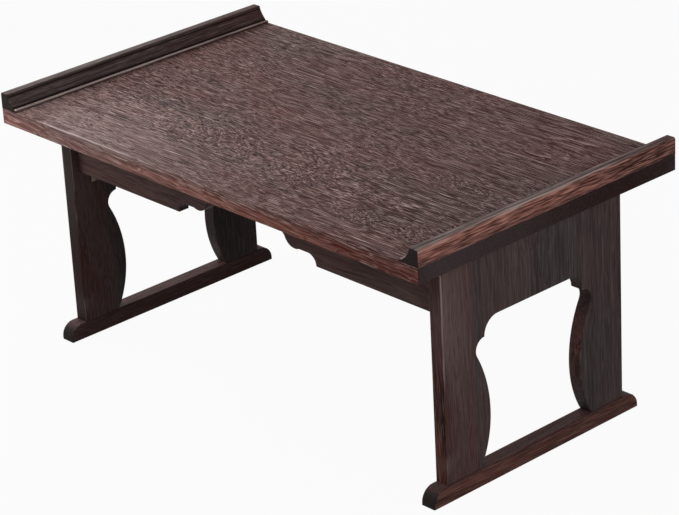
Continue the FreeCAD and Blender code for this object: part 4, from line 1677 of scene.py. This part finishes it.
def wood_finishes() -> list[RoastedWood]:
    """The table's woods: one log, cut and worn in different ways.

    Returns:
        The finishes, one for each wooden slot.
    """
    common = dict(dark=tone(32, 21, 20), end=tone(66, 57, 57), worn=tone(168, 148, 142),
                  ruddy=tone(106, 62, 56), raw=tone(150, 92, 80))
    # The top's near-white worn colour also paints its sheen and the bright arris line at the front left
    top = dict(
        common, dark=tone(34, 16, 16), body=tone(110, 74, 69), light=tone(228, 198, 192),
        ruddy=tone(94, 45, 41), worn=tone(204, 190, 186), blush_dark=tone(90, 36, 28),
        blush_light=tone(190, 126, 112), pith=(0.0, -0.10, 0.255), lean=(0.0, 0.05), ring=2.6 * MM,
        ring_depth=0.42, shiver=1.2 * MM, fleck_width=0.62 * MM, fleck_length=42 * MM,
        pore_length=80 * MM, fine_length=180 * MM, fleck_share=0.6, pore_share=1.0, ruddy_share=0.8,
        wear_share=0.9, streak_depth=1.2, fine_depth=2.6, side_streak=0.7, side_speck=1.8, side_fleck=0.4,
        seam=Seam(Axis.Z, 0.302, 5 * MM), joints=(-0.097, 0.085),
        eyes=spots((0.25, -0.14, 0.055, 0.022, 0.013), (0.13, -0.105, 0.07, 0.03, 0.011),
                   (0.245, -0.02, 0.035, 0.014, 0.01), (0.0, -0.09, 0.08, 0.025, 0.008),
                   (-0.16, 0.07, 0.12, 0.03, 0.008)),
        # The first spot is a painted sheen at the front left; the broad darker spots at the back and right,
        # and the one at the right of the front edge, are partly painted shade; the narrow dark spots are
        # streaks of the wood
        tones=spots((-0.22, -0.16, 0.16, 0.06, 0.5), (0.0, -0.2, 0.4, 0.035, 0.12),
                    (-0.05, 0.1, 0.16, 0.05, -0.15), (-0.27, -0.137, 0.05, 0.004, -0.4),
                    (-0.13, -0.13, 0.06, 0.005, -0.3), (0.24, -0.12, 0.07, 0.025, -0.15),
                    (0.3, 0.06, 0.2, 0.14, -0.32), (0.1, 0.15, 0.3, 0.1, -0.42),
                    (0.29, -0.2, 0.1, 0.015, -0.28)))
    lip = dict(
        common, dark=tone(52, 43, 42), body=tone(100, 92, 91), light=tone(132, 120, 117),
        end=tone(44, 38, 38), worn=tone(178, 156, 149), blush_dark=tone(44, 24, 21),
        blush_light=tone(172, 115, 102), pith=(0.0, 0.0, 0.24), wander=3 * MM, shiver=0.3 * MM,
        fleck_width=0.8 * MM, fleck_length=20 * MM, pore_length=14 * MM, fine_length=50 * MM,
        streak_width=5 * MM, fleck_share=0.4, pore_share=0.6, ruddy_share=0.1, fine_depth=0.8,
        side_streak=1.0, side_speck=2.0, side_fleck=0.25, seed=3.0,
        tones=spots((0.22, 0.2, 0.16, 9.0, -0.34)))
    board = dict(
        common, body=tone(80, 74, 74), light=tone(100, 90, 88), blush_dark=tone(28, 16, 14),
        blush_light=tone(90, 56, 48), ring_depth=0.15, fleck_length=34 * MM, pore_length=50 * MM,
        fleck_share=0.3, pore_share=0.4, ruddy_share=0.25, wear_share=0.5, streak_depth=0.45,
        fine_depth=0.7)
    leg = dict(
        board, end=tone(50, 42, 42), blush_dark=tone(22, 11, 9), blush_light=tone(92, 48, 40),
        pith=(0.36, 0.02, 0.1), lean=(0.03, 0.02), side_streak=2.0, side_speck=2.0, side_fleck=0.6,
        seam=Seam(Axis.Y, -0.093), seed=9.0,
        tones=spots((0.22, -0.141, 0.05, 0.01, 0.15), (0.1, -0.141, 0.05, 0.01, -0.3),
                    (0.045, -0.141, 0.012, 0.01, 0.3), (0.2, -0.128, 0.09, 0.03, 0.2)))
    foot = dict(board, end=tone(46, 40, 40), blush_dark=tone(48, 29, 26), blush_light=tone(108, 69, 62),
                pith=(0.27, 0.0, -0.06), seed=14.0)
    apron = dict(board, body=tone(122, 106, 102), pith=(0.0, 0.0, 0.2), seed=21.0)
    rail = dict(board, pith=(0.0, 0.0, 0.33), seed=27.0)
    return [
        RoastedWood(Slot.TOP, Axis.X, **top),
        RoastedWood(Slot.LIP, Axis.Y, **lip),
        RoastedWood(Slot.LEG, Axis.Z, **leg),
        RoastedWood(Slot.FOOT, Axis.Y, **foot),
        RoastedWood(Slot.APRON, Axis.X, **apron),
        RoastedWood(Slot.FRAME, Axis.Y, **rail),
    ]


def finishes() -> dict[Slot, bpy.types.Material]:
    """All the table's materials, by slot.

    Returns:
        The materials.
    """
    others = [
        BareBeech(Slot.DOWEL),
        DullSteel(Slot.HINGE, tone(86, 76, 66), tone(50, 40, 33)),
        DullSteel(Slot.SCREW, tone(104, 93, 80), tone(60, 49, 40), 0.34),
    ]
    return {finish.slot: finish.build() for finish in [*wood_finishes(), *others]}


def main() -> None:
    """Build the table's looks and the studio round it."""
    logging.basicConfig(level=logging.INFO, format="%(name)s: %(message)s")
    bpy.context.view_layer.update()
    shop = Workshop(finishes())
    TableTop(shop).build()
    ApronFrame(shop).build()
    for side in Side:
        FoldingLeg(shop, side).build()
    Fixings(shop).build()
    lamps = (
        SoftLight("key_lamp", (-1.1, -0.6, 0.95), 0.9, 16.5),
        SoftLight("window_lamp", (-2.8, 1.3, 1.5), 1.4, 18.0),
        SoftLight("overhead_lamp", (0.0, 0.0, 2.4), 2.2, 4.0),
        SoftLight("side_lamp", (1.5, -0.25, 0.75), 0.7, 9.5),
        SoftLight("front_lamp", (-1.4, -2.0, 0.8), 1.0, 4.5),
    )
    Studio(lamps, Viewpoint()).build()


if __name__ == "__main__":
    main()
